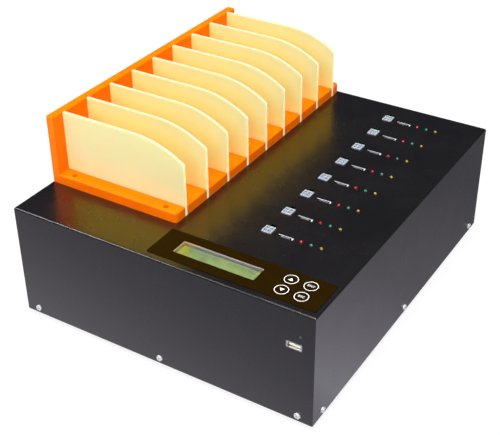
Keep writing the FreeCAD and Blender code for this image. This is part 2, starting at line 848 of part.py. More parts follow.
def port_board_edges():
    """Plan limits of the circuit board under the ports."""
    x0 = power_x - power_w / 2 - board_margin
    x1 = led_x + 2 * led_pitch + board_margin
    return x0, x1, row_y(0) - board_margin, row_y(bay_count - 1) + board_margin


def port_board():
    x0, x1, y0, y1 = port_board_edges()
    return block(x0, x1, y0, y1, board_z - board_t, board_z)


# ------------------------------------------------------------------ front service port
def usb_shell():
    """Rectangular sheet shell, closed at the rear, with a flared mouth outside the cover."""
    y1 = front + usb_len
    tube = in_wall(usb_x, usb_mid_z, usb_w, usb_h, front - usb_flare_t, y1)
    flare = in_wall(usb_x, usb_mid_z, usb_w + 2 * usb_flare_side, usb_h + 2 * usb_flare_top,
                    front - usb_flare_t, front)
    flare = flare.makeFillet(usb_flare_side, edges_along(flare, REARWARD))
    shell = fused([tube, flare])
    return shell.cut(in_wall(usb_x, usb_mid_z, usb_w - 2 * usb_sheet_t, usb_h - 2 * usb_sheet_t,
                             front - usb_flare_t - over, y1 - usb_sheet_t))


def usb_tongue():
    z = usb_mid_z - usb_tongue_drop
    return in_wall(usb_x, z, usb_tongue_w, usb_tongue_t, front + usb_tongue_back,
                   front + usb_len - usb_sheet_t)


def usb_contacts():
    """Four spring strips on the upper face of the tongue."""
    z0 = usb_mid_z - usb_tongue_drop + usb_tongue_t / 2
    y0 = front + usb_tongue_back + usb_contact_t
    strips = []
    for i in range(usb_contact_count):
        x = usb_x + (i - (usb_contact_count - 1) / 2) * usb_contact_pitch
        strips.append(block(x - usb_contact_w / 2, x + usb_contact_w / 2, y0, y0 + usb_contact_len,
                            z0, z0 + usb_contact_t))
    return group(strips)


def usb_board_edges():
    """Limits across and up of the board behind the service port."""
    half = usb_board_w / 2
    return usb_x - half, usb_x + half, usb_mid_z - usb_board_below, status_z + usb_board_above


def usb_board():
    """Small upright board that carries the service port and the status lamp."""
    x0, x1, z0, z1 = usb_board_edges()
    y = front + usb_len
    return block(x0, x1, y, y + board_t, z0, z1)


def status_led():
    return lamp(V(status_x, front - led_rise + led_len, status_z), FORWARD)


# ------------------------------------------------------------------ control panel
def panel_overlay():
    """Flat film over the controls, with the display window and four key openings."""
    film = block(overlay_x0, overlay_x1, overlay_y0, overlay_y1, top, top + overlay_t)
    film = film.makeFillet(overlay_corner_r, edges_along(film, UP))
    tools = [centred(window_x, window_y, window_w, window_d, top - over, top + overlay_t + over)]
    for _, x, y in key_places():
        tools.append(Part.makeCylinder(key_hole_r, overlay_t + 2 * over, V(x, y, top - over)))
    return film.cut(tools)


def display_window():
    """Clear part of the film, over the display."""
    return centred(window_x, window_y, window_w, window_d, top, top + overlay_t)


def display_gasket():
    """Foam frame that lines the window from the film down to the display."""
    outer = centred(window_x, window_y, window_w + 2 * gasket_t, window_d + 2 * gasket_t,
                    top - display_drop, top)
    return outer.cut(centred(window_x, window_y, window_w, window_d, top - display_drop - over, top + over))


def display_bezel():
    """Black metal frame of the display, with a rim that stands above the glass."""
    z1 = top - display_drop
    z0 = z1 - bezel_h
    seen_w = window_w - 2 * bezel_lip
    seen_d = window_d - 2 * bezel_lip
    frame = centred(window_x, window_y, bezel_w, bezel_d, z0, z1)
    frame = frame.cut(centred(window_x, window_y, seen_w, seen_d, z0 - over, z1 + over))
    return frame.cut(centred(window_x, window_y, seen_w + 2 * glass_margin, seen_d + 2 * glass_margin,
                             z0 - over, z1 - bezel_lip_t))


def display_glass():
    z1 = top - display_drop - bezel_lip_t
    z0 = top - display_drop - bezel_h
    inset = 2 * (bezel_lip - glass_margin + nest_gap)
    return centred(window_x, window_y, window_w - inset, window_d - inset, z0, z1)


def display_board():
    z1 = top - display_drop - bezel_h
    return centred(window_x, window_y, display_board_w, display_board_d, z1 - board_t, z1)


def key(x, y):
    """Round key: cap through the cover, two ears below it and a stem down to the switch."""
    cap_top = top + overlay_t + key_rise
    ear_top = under - key_ear_gap
    cap = Part.makeCylinder(key_r, cap_top - ear_top + key_ear_t, V(x, y, ear_top - key_ear_t))
    rim = [e for e in cap.Edges if e.BoundBox.ZMin > cap_top - touch]
    cap = cap.makeChamfer(key_rise, rim)
    ears = centred(x, y, key_ear_w, key_ear_d, ear_top - key_ear_t, ear_top)
    stem = Part.makeCylinder(key_stem_r, ear_top - key_ear_t - key_tip_z, V(x, y, key_tip_z))
    return fused([cap, ears, stem])


def keypad_board():
    return centred(keys_x, keys_y, key_board_w, key_board_d, key_board_z - board_t, key_board_z)


def tact_switches():
    """Square push switches; the stem of each key dips into its bore."""
    switches = []
    for _, x, y in key_places():
        body = centred(x, y, tact_w, tact_w, key_board_z, key_board_z + tact_h)
        bore_z = key_board_z + tact_h - tact_bore_h
        bore = Part.makeCylinder(key_stem_r + tact_bore_gap, tact_bore_h + over, V(x, y, bore_z))
        switches.append(body.cut(bore))
    return group(switches)


# ------------------------------------------------------------------ rear fittings
def inlet_housing():
    """Mains inlet: flange outside the panel, body through it and a keyed cavity."""
    flange = in_wall(inlet_cx, inlet_cz, inlet_flange_w, inlet_flange_h, back, back + inlet_flange_t)
    flange = flange.makeFillet(inlet_corner_r, edges_along(flange, REARWARD))
    body = in_wall(inlet_cx, inlet_cz, inlet_body_w, inlet_body_h, back - inlet_body_len, back)
    mouth_y = back + inlet_flange_t
    w = inlet_cavity_w / 2
    h = inlet_cavity_h / 2
    c = inlet_chamfer
    outline = [(-w, -h), (w, -h), (w, h - c), (w - c, h), (-w + c, h), (-w, h - c)]
    points = [V(inlet_cx + x, mouth_y - inlet_cavity_depth, inlet_cz + z) for x, z in outline]
    cavity = prism(points, V(0, inlet_cavity_depth + over, 0))
    slots = [in_wall(x, z, blade_w, blade_h, back - inlet_body_len - over, mouth_y)
             for x, z in blade_places()]
    return fused([flange, body]).cut([cavity] + slots)


def blade_places():
    """Line, neutral and earth blades of the inlet."""
    half = blade_pitch / 2
    return [(inlet_cx - half, inlet_cz - blade_offset), (inlet_cx + half, inlet_cz - blade_offset),
            (inlet_cx, inlet_cz + blade_offset)]


def inlet_pins():
    tip = back + inlet_flange_t - blade_recess
    return group([in_wall(x, z, blade_w, blade_h, back - inlet_body_len - blade_tail, tip)
                  for x, z in blade_places()])


def switch_frame():
    """Snap-in housing of the power switch, with pivot holes in its sides."""
    flange = in_wall(switch_cx, inlet_cz, switch_flange_w, switch_flange_h, back, back + switch_flange_t)
    flange = flange.makeFillet(switch_corner_r, edges_along(flange, REARWARD))
    body = in_wall(switch_cx, inlet_cz, switch_body_w, switch_body_h, back - switch_body_len, back)
    cavity = in_wall(switch_cx, inlet_cz, switch_cavity_w, switch_cavity_h,
                     back + switch_flange_t - switch_cavity_depth, back + switch_flange_t + over)
    pivot = Part.makeCylinder(trunnion_r + trunnion_gap, switch_body_w + 2,
                              V(switch_cx - switch_body_w / 2 - over, pivot_y, inlet_cz), RIGHTWARD)
    return fused([flange, body]).cut([cavity, pivot])


def power_rocker():
    """Rocker with round ends and a shallow V face, resting tipped to its lower stop."""
    r = switch_cavity_h / 2 - rocker_gap
    half_w = switch_cavity_w / 2 - rocker_gap
    x0 = switch_cx - half_w
    drum = Part.makeCylinder(r, 2 * half_w, V(x0, pivot_y, inlet_cz), RIGHTWARD)
    outline = [V(x0, pivot_y - rocker_depth, inlet_cz - r), V(x0, pivot_y - rocker_depth, inlet_cz + r),
               V(x0, pivot_y + rocker_crest, inlet_cz + r), V(x0, pivot_y + rocker_valley, inlet_cz),
               V(x0, pivot_y + rocker_crest, inlet_cz - r)]
    body = drum.common(prism(outline, V(2 * half_w, 0, 0)))
    pin = Part.makeCylinder(trunnion_r, switch_body_w, V(switch_cx - switch_body_w / 2, pivot_y, inlet_cz),
                            RIGHTWARD)
    rocker = fused([body, pin])
    rocker.rotate(V(switch_cx, pivot_y, inlet_cz), RIGHTWARD, -rocker_tilt)
    return rocker


def to_fan(shape):
    """From the fan's own frame, with +Z out through the grille, to its place in the case."""
    shape.Placement = FreeCAD.Placement(V(fan_cx, panel_in, fan_cz), FreeCAD.Rotation(UP, REARWARD))
    return shape


def fan_frame():
    """Square fan frame: two flanges, a round duct, struts and the motor mount with its shaft."""
    half = fan_w / 2
    depth = fan_bore_r + fan_duct_t
    parts = [Part.makeCylinder(depth, fan_t, V(0, 0, -fan_t))]
    for z in (-fan_t, -fan_flange_t):
        flange = block(-half, half, -half, half, z, z + fan_flange_t)
        parts.append(flange.makeFillet(fan_corner_r, edges_along(flange, UP)))
    shell = fused(parts)
    step = fan_hole_pitch / 2
    tools = [Part.makeCylinder(fan_bore_r, fan_t + 2 * over, V(0, 0, -fan_t - over))]
    for i in (-1, 1):
        for j in (-1, 1):
            tools.append(Part.makeCylinder(fan_hole_r, fan_t + 2 * over,
                                           V(i * step, j * step, -fan_t - over)))
    shell = shell.cut(tools)
    disc = Part.makeCylinder(mount_disc_r, mount_disc_t, V(0, 0, -mount_disc_t))
    shaft = Part.makeCylinder(shaft_r, mount_disc_t + hub_end_gap + hub_len - 2 * hub_wall,
                              V(0, 0, -mount_disc_t - hub_end_gap - hub_len + 2 * hub_wall))
    struts = []
    for i in range(strut_count):
        bar = block(mount_disc_r - over, fan_bore_r + fan_duct_t / 2, -strut_w / 2, strut_w / 2,
                    -mount_disc_t, 0)
        bar.rotate(V(0, 0, 0), UP, 45 + 360 * i / strut_count)
        struts.append(bar)
    return to_fan(fused([shell, disc, shaft] + struts))


def fan_section(radius, chord, pitch_deg):
    """Cambered blade section, square to the radius."""
    a = math.radians(pitch_deg)
    along = V(0, math.cos(a), math.sin(a))
    across = V(0, -math.sin(a), math.cos(a))
    middle = V(radius, 0, -mount_disc_t - hub_end_gap - hub_len / 2)
    nose = middle - along * (chord / 2)
    tail = middle + along * (chord / 2)
    edge = across * (fan_blade_edge_t / 2)
    crown = middle + across * (camber * chord + fan_blade_t / 2)
    hollow = middle + across * (camber * chord - fan_blade_t / 2)
    return Part.Wire([Part.Arc(nose + edge, crown, tail + edge).toShape(),
                      Part.LineSegment(tail + edge, tail - edge).toShape(),
                      Part.Arc(tail - edge, hollow, nose - edge).toShape(),
                      Part.LineSegment(nose - edge, nose + edge).toShape()])


def fan_rotor():
    """Hub cup with twisted, cambered blades that run in the duct."""
    hub_z1 = -mount_disc_t - hub_end_gap
    hub_z0 = hub_z1 - hub_len
    cup = Part.makeCylinder(hub_r, hub_len, V(0, 0, hub_z0))
    cup = cup.cut(Part.makeCylinder(hub_r - hub_wall, hub_len, V(0, 0, hub_z0 + hub_wall)))
    post = Part.makeCylinder(2 * shaft_r, hub_len - hub_wall, V(0, 0, hub_z0 + hub_wall / 2))
    tip_r = fan_bore_r - fan_tip_gap
    blades = []
    for i in range(blade_count):
        blade = Part.makeLoft([fan_section(hub_r - hub_wall / 2, root_chord, root_pitch_deg),
                               fan_section(tip_r + over, tip_chord, tip_pitch_deg)], True, True)
        blade.rotate(V(0, 0, 0), UP, 360 * i / blade_count)
        blades.append(blade)
    outer = Part.makeCylinder(tip_r, hub_len + fan_t, V(0, 0, hub_z0 - fan_t / 2))
    inner = Part.makeCylinder(hub_r - hub_wall, hub_len, V(0, 0, hub_z0 + hub_wall))
    rotor = fused([cup] + blades).common(outer).cut(inner)
    rotor = fused([rotor, post])
    bore = Part.makeCylinder(shaft_r + shaft_gap, hub_len, V(0, 0, hub_z0 + hub_wall))
    return to_fan(rotor.cut(bore))


def fan_screws():
    length = sheet_t + fan_flange_t
    return group([pan_screw(V(x, back, z), REARWARD, length) for x, z in fan_screw_places()])


# ------------------------------------------------------------------ inside the case
def psu_place():
    x0 = left + psu_from_left
    y0 = front + psu_from_front
    return x0, x0 + psu_w, y0, y0 + psu_len


def power_supply():
    """Sheet box of the power supply, open at its wiring end."""
    x0, x1, y0, y1 = psu_place()
    z1 = floor_z + psu_h
    shell = block(x0, x1, y0, y1, floor_z, z1)
    return shell.cut(block(x0 + psu_t, x1 - psu_t, y0 + psu_t, y1 + over, floor_z + psu_t, z1 - psu_t))


def terminal_block():
    """Screw terminal strip across the wiring end, one well for each way."""
    x0, x1, y0, y1 = psu_place()
    x0 += psu_t + nest_gap
    x1 -= psu_t + nest_gap
    z0 = floor_z + psu_t
    strip = block(x0, x1, y1 - terminal_d, y1, z0, z0 + terminal_h)
    way = (x1 - x0 - terminal_wall) / terminal_ways
    wells = []
    for i in range(terminal_ways):
        a = x0 + terminal_wall + i * way
        wells.append(block(a, a + way - terminal_wall, y1 - terminal_d + terminal_wall, y1 + over,
                           z0 + terminal_h / 2, z0 + terminal_h + over))
    return strip.cut(wells)


def main_board_edges():
    x0 = psu_place()[1] + main_board_from_psu
    y0 = front + main_board_from_front
    return x0, right - main_board_from_right, y0, y0 + main_board_d


def main_board():
    x0, x1, y0, y1 = main_board_edges()
    z0 = floor_z + main_board_lift
    return block(x0, x1, y0, y1, z0, z0 + board_t)


def heat_sink():
    """Finned aluminium block on the controller chip."""
    x0, x1, y0, y1 = main_board_edges()
    cx = (x0 + x1) / 2
    cy = (y0 + y1) / 2
    z0 = floor_z + main_board_lift + board_t
    sink = centred(cx, cy, sink_w, sink_w, z0, z0 + sink_h)
    step = (sink_w - sink_fin_t) / (sink_fin_count - 1)
    tools = []
    for i in range(sink_fin_count - 1):
        a = cx - sink_w / 2 + sink_fin_t + i * step
        tools.append(block(a, a + step - sink_fin_t, cy - sink_w, cy + sink_w,
                           z0 + sink_floor, z0 + sink_h + over))
    return sink.cut(tools)


def corner_places(x0, x1, y0, y1):
    """Spacer centres near the four corners of a board."""
    s = spacer_inset
    return [(x, y) for x in (x0 + s, x1 - s) for y in (y0 + s, y1 - s)]


def board_spacers():
    """Spacers that hang the boards from the cover or stand them on the tray."""
    items = []
    x0, x1, y0, y1 = port_board_edges()
    middle = [(x0 + spacer_inset, (y0 + y1) / 2), (x1 - spacer_inset, (y0 + y1) / 2)]
    for x, y in corner_places(x0, x1, y0, y1) + middle:
        items.append(spacer(V(x, y, board_z), UP, under - board_z))
    half_w = display_board_w / 2
    half_d = display_board_d / 2
    display_z = top - display_drop - bezel_h
    for x, y in corner_places(window_x - half_w, window_x + half_w, window_y - half_d, window_y + half_d):
        items.append(spacer(V(x, y, display_z), UP, under - display_z))
    half_w = key_board_w / 2
    half_d = key_board_d / 2
    for x, y in corner_places(keys_x - half_w, keys_x + half_w, keys_y - half_d, keys_y + half_d):
        items.append(spacer(V(x, y, key_board_z), UP, under - key_board_z))
    for x, z in corner_places(*usb_board_edges()):
        items.append(spacer(V(x, front_in, z), REARWARD, usb_len - sheet_t))
    for x, y in corner_places(*main_board_edges()):
        items.append(spacer(V(x, y, floor_z), UP, main_board_lift))
    return group(items)


# ------------------------------------------------------------------ write every node
def all_nodes():
    nodes = {
        "top_cover": top_cover(),
        "base_tray": base_tray(),
        "rear_panel": rear_panel(),
        "cover_screws": cover_screws(),
        "rear_panel_screws": rear_panel_screws(),
        "rubber_feet": rubber_feet(),
        "foot_screws": foot_screws(),
        "rack_back_wall": rack_back_wall(),
        "rack_base": rack_base(),
        "rack_screws": rack_screws(),
        "rack_wall_screws": rack_wall_screws(),
        "power_headers": power_headers(),
        "power_pins": power_pins(),
        "sata_headers": sata_headers(),
        "sata_contacts": sata_contacts(),
        "red_leds": lamp_column(0),
        "green_leds": lamp_column(1),
        "yellow_leds": lamp_column(2),
        "led_leads": led_leads(),
        "port_board": port_board(),
        "usb_shell": usb_shell(),
        "usb_tongue": usb_tongue(),
        "usb_contacts": usb_contacts(),
        "usb_board": usb_board(),
        "status_led": status_led(),
        "panel_overlay": panel_overlay(),
        "display_window": display_window(),
        "display_gasket": display_gasket(),
        "display_bezel": display_bezel(),
        "display_glass": display_glass(),
        "display_board": display_board(),
        "keypad_board": keypad_board(),
        "tact_switches": tact_switches(),
        "inlet_housing": inlet_housing(),
        "inlet_pins": inlet_pins(),
        "switch_frame": switch_frame(),
        "power_rocker": power_rocker(),
        "fan_frame": fan_frame(),
        "fan_rotor": fan_rotor(),
        "fan_screws": fan_screws(),
        "power_supply": power_supply(),
        "terminal_block": terminal_block(),
        "main_board": main_board(),
        "heat_sink": heat_sink(),
        "board_spacers": board_spacers(),
    }
    for n in range(bay_count + 1):
        nodes["divider_%d" % (n + 1)] = divider(n)
    for name, x, y in key_places():
        nodes[name] = key(x, y)
    return nodes


os.makedirs("parts", exist_ok=True)
for name, shape in all_nodes().items():
    shape.exportStep("parts/%s.step" % name)
    print("%-20s solids %3d  volume %10.1f mm3" % (name, len(shape.Solids), shape.Volume))
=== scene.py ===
# %% [markdown]
# # A drive duplicator, dressed
# The solid model of a drive duplicator is already built, packed and fixed in place: a black sheet-steel
# case, an orange rack with nine cream dividers on its top, two headers and three lamps beside each bay,
# and a small control panel. This lesson loads it, gives every part its finish, and models by hand what
# the solids leave out: recessed screw heads, the fine edges of the data headers, printed legends, the
# characters on the display, and the marks on the switch.
#
# Their places never change here, so every new piece reads its place from them.

# %% Load the fixed model
import math
import bmesh
import bpy
from mathutils import Matrix, Vector


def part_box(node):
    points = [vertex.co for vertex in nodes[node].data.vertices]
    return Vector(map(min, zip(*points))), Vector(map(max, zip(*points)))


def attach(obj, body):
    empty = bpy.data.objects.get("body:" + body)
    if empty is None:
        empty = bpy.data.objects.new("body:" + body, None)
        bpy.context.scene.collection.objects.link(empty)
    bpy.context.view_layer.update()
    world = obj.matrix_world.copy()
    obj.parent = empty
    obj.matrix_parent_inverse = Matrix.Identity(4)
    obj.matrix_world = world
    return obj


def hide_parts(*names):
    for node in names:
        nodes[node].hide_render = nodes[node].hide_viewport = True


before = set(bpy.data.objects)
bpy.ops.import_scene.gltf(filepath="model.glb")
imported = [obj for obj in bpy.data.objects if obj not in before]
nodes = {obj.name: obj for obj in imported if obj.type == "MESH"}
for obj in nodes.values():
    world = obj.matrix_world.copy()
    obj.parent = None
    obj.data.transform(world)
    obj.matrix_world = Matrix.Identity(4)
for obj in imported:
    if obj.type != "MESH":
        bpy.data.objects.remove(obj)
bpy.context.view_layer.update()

MM = 0.001

# %% [markdown]
# ## Camera
# A long lens keeps the long edges of a box nearly parallel, which is how products are usually shown. The
# camera is turned in three plain steps: roll about its own line of sight, tip down, then swing round the
# object.

# %% Camera
swing, tip, roll = math.radians(31.93), math.radians(33.07), math.radians(-0.47)
camera_place = Vector((0.4533, -0.7535, 0.6335))
FOCAL_LENGTH = 75.28
lens = bpy.data.cameras.new("studio_lens")
lens.lens = FOCAL_LENGTH
camera = bpy.data.objects.new("studio_camera", lens)
bpy.context.scene.collection.objects.link(camera)
tipped = Matrix.Rotation(swing, 4, "Z") @ Matrix.Rotation(math.pi / 2 - tip, 4, "X")
camera.matrix_world = Matrix.Translation(camera_place) @ (tipped @ Matrix.Rotation(roll, 4, "Z"))
bpy.context.scene.camera = camera
bpy.context.scene.view_settings.view_transform = "Standard"
print("camera at", tuple(camera_place))

# %% [markdown]
# ## Small helpers for node trees
# Every finish below is a node tree, and small helpers keep its code short. One adds a node and sets it
# up, one joins two sockets, and one starts a material with its Principled shader ready. Three more stand
# for the steps that come back most often: a sum, a range that is spread over 0 to 1, and the X, Y and Z of
# a place.

# %% Node helpers
def fill(node, values):
    """Set input values by name, with _ for a space."""
    for key, value in values.items():
        node.inputs[key.replace("_", " ")].default_value = value
    return node


def put(tree, kind, settings=None, **sockets):
    """Add a node. settings are its own properties, sockets are input values."""
    node = tree.nodes.new("ShaderNode" + kind)
    for key, value in (settings or {}).items():
        setattr(node, key, value)
    return fill(node, sockets)


def join(tree, source, target):
    """Join an output to a socket, or set the socket where source is a number or a colour."""
    if isinstance(source, bpy.types.NodeSocket):
        tree.links.new(source, target)
    elif isinstance(source, tuple):
        target.default_value = (*source, 1.0)
    else:
        target.default_value = source


def calc(tree, operation, *terms):
    """The result of a Math node. Each term is a number or an output."""
    node = put(tree, "Math", {"operation": operation})
    for term, socket in zip(terms, node.inputs):
        join(tree, term, socket)
    return node.outputs[0]


def remap(tree, value, low, high):
    """The value as a mask that is 0 at low and 1 at high."""
    node = put(tree, "MapRange", From_Min=low, From_Max=high)
    join(tree, value, node.inputs["Value"])
    return node.outputs["Result"]


def axes(tree, kind="TexCoord", output="Object"):
    """The X, Y and Z outputs of a place or a direction."""
    split = put(tree, "SeparateXYZ")
    join(tree, put(tree, kind).outputs[output], split.inputs["Vector"])
    return split.outputs


def new_finish(name, color, rough, **sockets):
    """A material with one Principled shader. Gives back the material, its tree and the shader."""
    material = bpy.data.materials.new(name)
    material.use_nodes = True
    shader = material.node_tree.nodes["Principled BSDF"]
    fill(shader, {"Base Color": (*color, 1.0), "Roughness": rough, **sockets})
    material.diffuse_color = (*color, 1.0)
    return material, material.node_tree, shader


print("node helpers ready")

# %% [markdown]
# ## Shared effects as node groups
# Several finishes need the same things: a skin that is not perfectly flat, a soft change of gloss where
# hands have been, fine lines left by a tool. Each effect is built once as a node group with named inputs
# and outputs. A group gives out only masks and heights; the shader itself stays in the material.
#
# The patterns are laid out in millimetres. Object coordinates come in metres, so a Mapping node scales
# them.

# %% Group builder
def new_group(name, inputs, outputs):
    """An empty node group, and its sockets as they are met inside: what it is given and what it gives."""
    tree = bpy.data.node_groups.new(name, "ShaderNodeTree")
    for label, value in inputs:
        socket = tree.interface.new_socket(name=label, in_out="INPUT", socket_type="NodeSocketFloat")
        socket.default_value = value
    for label in outputs:
        tree.interface.new_socket(name=label, in_out="OUTPUT", socket_type="NodeSocketFloat")
    return tree, tree.nodes.new("NodeGroupInput").outputs, tree.nodes.new("NodeGroupOutput").inputs


def millimetres(tree, stretch=(1, 1, 1)):
    """Object coordinates in millimetres, stretched along an axis if asked."""
    place = put(tree, "TexCoord")
    scale = put(tree, "Mapping", Scale=[1000 * s for s in stretch])
    join(tree, place.outputs["Object"], scale.inputs["Vector"])
    return scale.outputs["Vector"]


def pattern(tree, kind, here, per_mm, settings=None, **shape):
    """The first output of a texture that has per_mm swells or cells in a millimetre."""
    node = put(tree, kind, settings, **shape)
    join(tree, here, node.inputs["Vector"])
    join(tree, per_mm, node.inputs["Scale"])
    return node.outputs[0]


print("group builder ready")

# %% [markdown]
# **Coat grain.** Baked powder coat flows into a skin like orange peel, and a few grains stay proud of it
# and catch the light. The peel is one noise; the grains are the centres of a Voronoi pattern, kept only
# where a second noise is high, so they are sparse and uneven.

# %% Coat grain
tree, given, gives = new_group(
    "Coat grain", [("Peel per mm", 0.9), ("Grains per mm", 0.55), ("Grain radius", 0.11)],
    ["Height", "Grains"])
GRAIN_HEIGHT = 1.5
here = millimetres(tree)
peel = pattern(tree, "TexNoise", here, given["Peel per mm"], Detail=2.0, Roughness=0.5)
centre = pattern(tree, "TexVoronoi", here, given["Grains per mm"], Randomness=1.0)
near = calc(tree, "LESS_THAN", centre, given["Grain radius"])
patch = pattern(tree, "TexNoise", here, 0.35, Detail=1.0)
grains = calc(tree, "MULTIPLY", near, remap(tree, patch, 0.52, 0.66))
join(tree, calc(tree, "MULTIPLY_ADD", grains, GRAIN_HEIGHT, peel), gives["Height"])
join(tree, grains, gives["Grains"])
coat_grain = tree
print(coat_grain.name, "nodes:", len(tree.nodes))

# %% [markdown]
# **Handling haze.** No surface keeps one gloss all over: a cloth, a palm or the mould leaves broad soft
# patches. This group turns a slow noise into a value between a low and a high limit, ready for roughness.

# %% Handling haze
tree, given, gives = new_group(
    "Handling haze", [("Patches per mm", 0.02), ("Low", 0.3), ("High", 0.4)], ["Value"])
broad = pattern(tree, "TexNoise", millimetres(tree), given["Patches per mm"],
                Detail=4.0, Roughness=0.6, Distortion=0.6)
spread = put(tree, "MapRange", From_Min=0.3, From_Max=0.7)
join(tree, broad, spread.inputs["Value"])
join(tree, given["Low"], spread.inputs["To Min"])
join(tree, given["High"], spread.inputs["To Max"])
join(tree, spread.outputs["Result"], gives["Value"])
handling_haze = tree
print(handling_haze.name, "nodes:", len(tree.nodes))

# %% [markdown]
# **Tool lines.** Rolled or turned metal keeps fine lines along one direction. A noise that is squeezed
# along one axis gives them, and the number of lines is an input, so screws, shells and sinks can share
# the group.

# %% Tool lines
tree, given, gives = new_group("Tool lines", [("Lines per mm", 6.0)], ["Height", "Mask"])
squeezed = millimetres(tree, stretch=(0.05, 1, 1))
lines = pattern(tree, "TexNoise", squeezed, given["Lines per mm"], Detail=3.0, Roughness=0.65)
join(tree, lines, gives["Height"])
join(tree, remap(tree, lines, 0.35, 0.65), gives["Mask"])
tool_lines = tree
print(tool_lines.name, "nodes:", len(tree.nodes))

# %% [markdown]
# **Moulded skin.** Plastic takes the fine texture of its mould, and its colour clouds slightly where the
# melt met. One group gives both: a fine height and a slow cloud between 0 and 1.

# %% Moulded skin
tree, given, gives = new_group(
    "Moulded skin", [("Texture per mm", 5.0), ("Clouds per mm", 0.15)], ["Height", "Cloud"])
here = millimetres(tree)
fine = pattern(tree, "TexNoise", here, given["Texture per mm"], Detail=3.0, Roughness=0.6)
slow = pattern(tree, "TexNoise", here, given["Clouds per mm"], Detail=2.0, Distortion=0.4)
join(tree, fine, gives["Height"])
join(tree, remap(tree, slow, 0.3, 0.7), gives["Cloud"])
moulded_skin = tree
print(moulded_skin.name, "nodes:", len(tree.nodes))

# %% [markdown]
# **Board tracks.** A circuit board shows copper tracks under its paint, as slightly raised, slightly
# lighter lines that run square to each other, with round pads here and there. A brick pattern gives the
# square runs and a Voronoi pattern the pads.

# %% Board tracks
tree, given, gives = new_group("Board tracks", [("Tracks per mm", 0.5)], ["Tracks"])
here = millimetres(tree)
runs = pattern(tree, "TexBrick", here, given["Tracks per mm"], {"offset": 0.37, "squash": 0.6},
               Color1=(0, 0, 0, 1), Color2=(0, 0, 0, 1), Mortar=(1, 1, 1, 1),
               Mortar_Size=0.03, Brick_Width=1.7, Row_Height=0.5)
PADS_PER_MM, PAD_RADIUS = 0.22, 0.16
pads = pattern(tree, "TexVoronoi", here, PADS_PER_MM, Randomness=0.9)
both = calc(tree, "MAXIMUM", runs, calc(tree, "LESS_THAN", pads, PAD_RADIUS))
join(tree, both, gives["Tracks"])
board_tracks = tree
print(board_tracks.name, "nodes:", len(tree.nodes))

# %% [markdown]
# ## Ways to use a group
# Most finishes do the same few things with a group: mix two colours by a mask, drive the roughness by a
# mask or by the haze, and raise a bump. Each is a helper, so that a finish reads like a recipe.

# %% Recipe helpers
dressed = set()


def add_group(tree, group, **values):
    """Add a node group and give back its outputs."""
    node = tree.nodes.new("ShaderNodeGroup")
    node.node_tree = group
    return fill(node, values).outputs


def mix_colors(tree, mask, first, second):
    """A colour that runs from first to second as the mask rises. Each may be a colour or a socket."""
    mix = put(tree, "Mix", {"data_type": "RGBA"})
    ends = [socket for socket in mix.inputs if socket.type == "RGBA"]
    for end, value in zip(ends, (first, second)):
        join(tree, value, end)
    join(tree, mask, mix.inputs["Factor"])
    return [socket for socket in mix.outputs if socket.type == "RGBA"][0]


def color_by(tree, mask, first, second, shader, socket="Base Color"):
    join(tree, mix_colors(tree, mask, first, second), shader.inputs[socket])


def rough_by(tree, mask, low, high, shader):
    """Roughness that runs from low to high as the mask rises."""
    spread = put(tree, "MapRange", To_Min=low, To_Max=high)
    join(tree, mask, spread.inputs["Value"])
    join(tree, spread.outputs["Result"], shader.inputs["Roughness"])


def haze_over(tree, shader, **values):
    """Roughness that wanders between the haze group's Low and High."""
    haze = add_group(tree, handling_haze, **values)
    join(tree, haze["Value"], shader.inputs["Roughness"])


def raise_bump(tree, height, shader, depth_mm, strength):
    """Bump from a height between 0 and 1 that stands depth_mm tall."""
    bump = put(tree, "Bump", Strength=strength, Distance=depth_mm * MM)
    join(tree, height, bump.inputs["Height"])
    join(tree, bump.outputs["Normal"], shader.inputs["Normal"])


def blend_shaders(tree, share, first, second):
    """Surface that is the first shader where share is 0 and the second where it is 1."""
    blend = put(tree, "MixShader")
    join(tree, share, blend.inputs["Fac"])
    join(tree, first.outputs[0], blend.inputs[1])
    join(tree, second.outputs[0], blend.inputs[2])
    join(tree, blend.outputs["Shader"], tree.nodes["Material Output"].inputs["Surface"])


def dress(finish, *names):
    """Give CAD nodes a finish through their material slots."""
    for name in names:
        for slot in nodes[name].material_slots:
            slot.material = finish
        dressed.add(name)
    print(finish.name, "->", ", ".join(names))


print("recipe helpers ready")

# %% [markdown]
# ## Black powder coat
# The case is bent from 1.2 mm steel and powder coated in satin black. Black paint has almost no colour of
# its own, so what the eye reads is its reflection: a broad, slightly broken mirror of whatever stands on
# it. The base colour is nearly zero, the roughness is low enough to show the rack, and the grain breaks
# it up. The raised grains are also painted a lighter colour, a painted glint where they catch the light.

# %% Black powder coat
black_coat, tree, shader = new_finish("black_powder_coat", (0.001, 0.0008, 0.001), 0.25, IOR=1.9)
grain = add_group(tree, coat_grain)
haze_over(tree, shader, Low=0.24, High=0.3)
# The raised grains get a lighter colour, a painted glint.
color_by(tree, grain["Grains"], (0.001, 0.0007, 0.0009), (0.06, 0.055, 0.05), shader)
raise_bump(tree, grain["Height"], shader, 0.008, 0.5)
dress(black_coat, "top_cover", "base_tray", "rear_panel")

# %% [markdown]
# ## Orange sheet
# The rack is cut from coloured acrylic sheet: a thick wall and a comb plate. Its colour is deep and even
# with a semi-gloss skin. A little light travels inside the sheet and softens its edges, which is
# subsurface scattering with a short radius.

# %% Orange sheet
orange_sheet, tree, shader = new_finish("orange_sheet", (1.0, 0.17, 0.0), 0.32, IOR=1.4,
                                        Specular_IOR_Level=0.12, Subsurface_Weight=0.25,
                                        Subsurface_Scale=0.003, Subsurface_Radius=(1.0, 0.4, 0.05))
skin = add_group(tree, moulded_skin, Texture_per_mm=2.0, Clouds_per_mm=0.03)
color_by(tree, skin["Cloud"], (1.0, 0.155, 0.0), (1.0, 0.18, 0.0), shader)
haze_over(tree, shader, Patches_per_mm=0.05, Low=0.26, High=0.36)
raise_bump(tree, skin["Height"], shader, 0.004, 0.4)
dress(orange_sheet, "rack_back_wall", "rack_base")
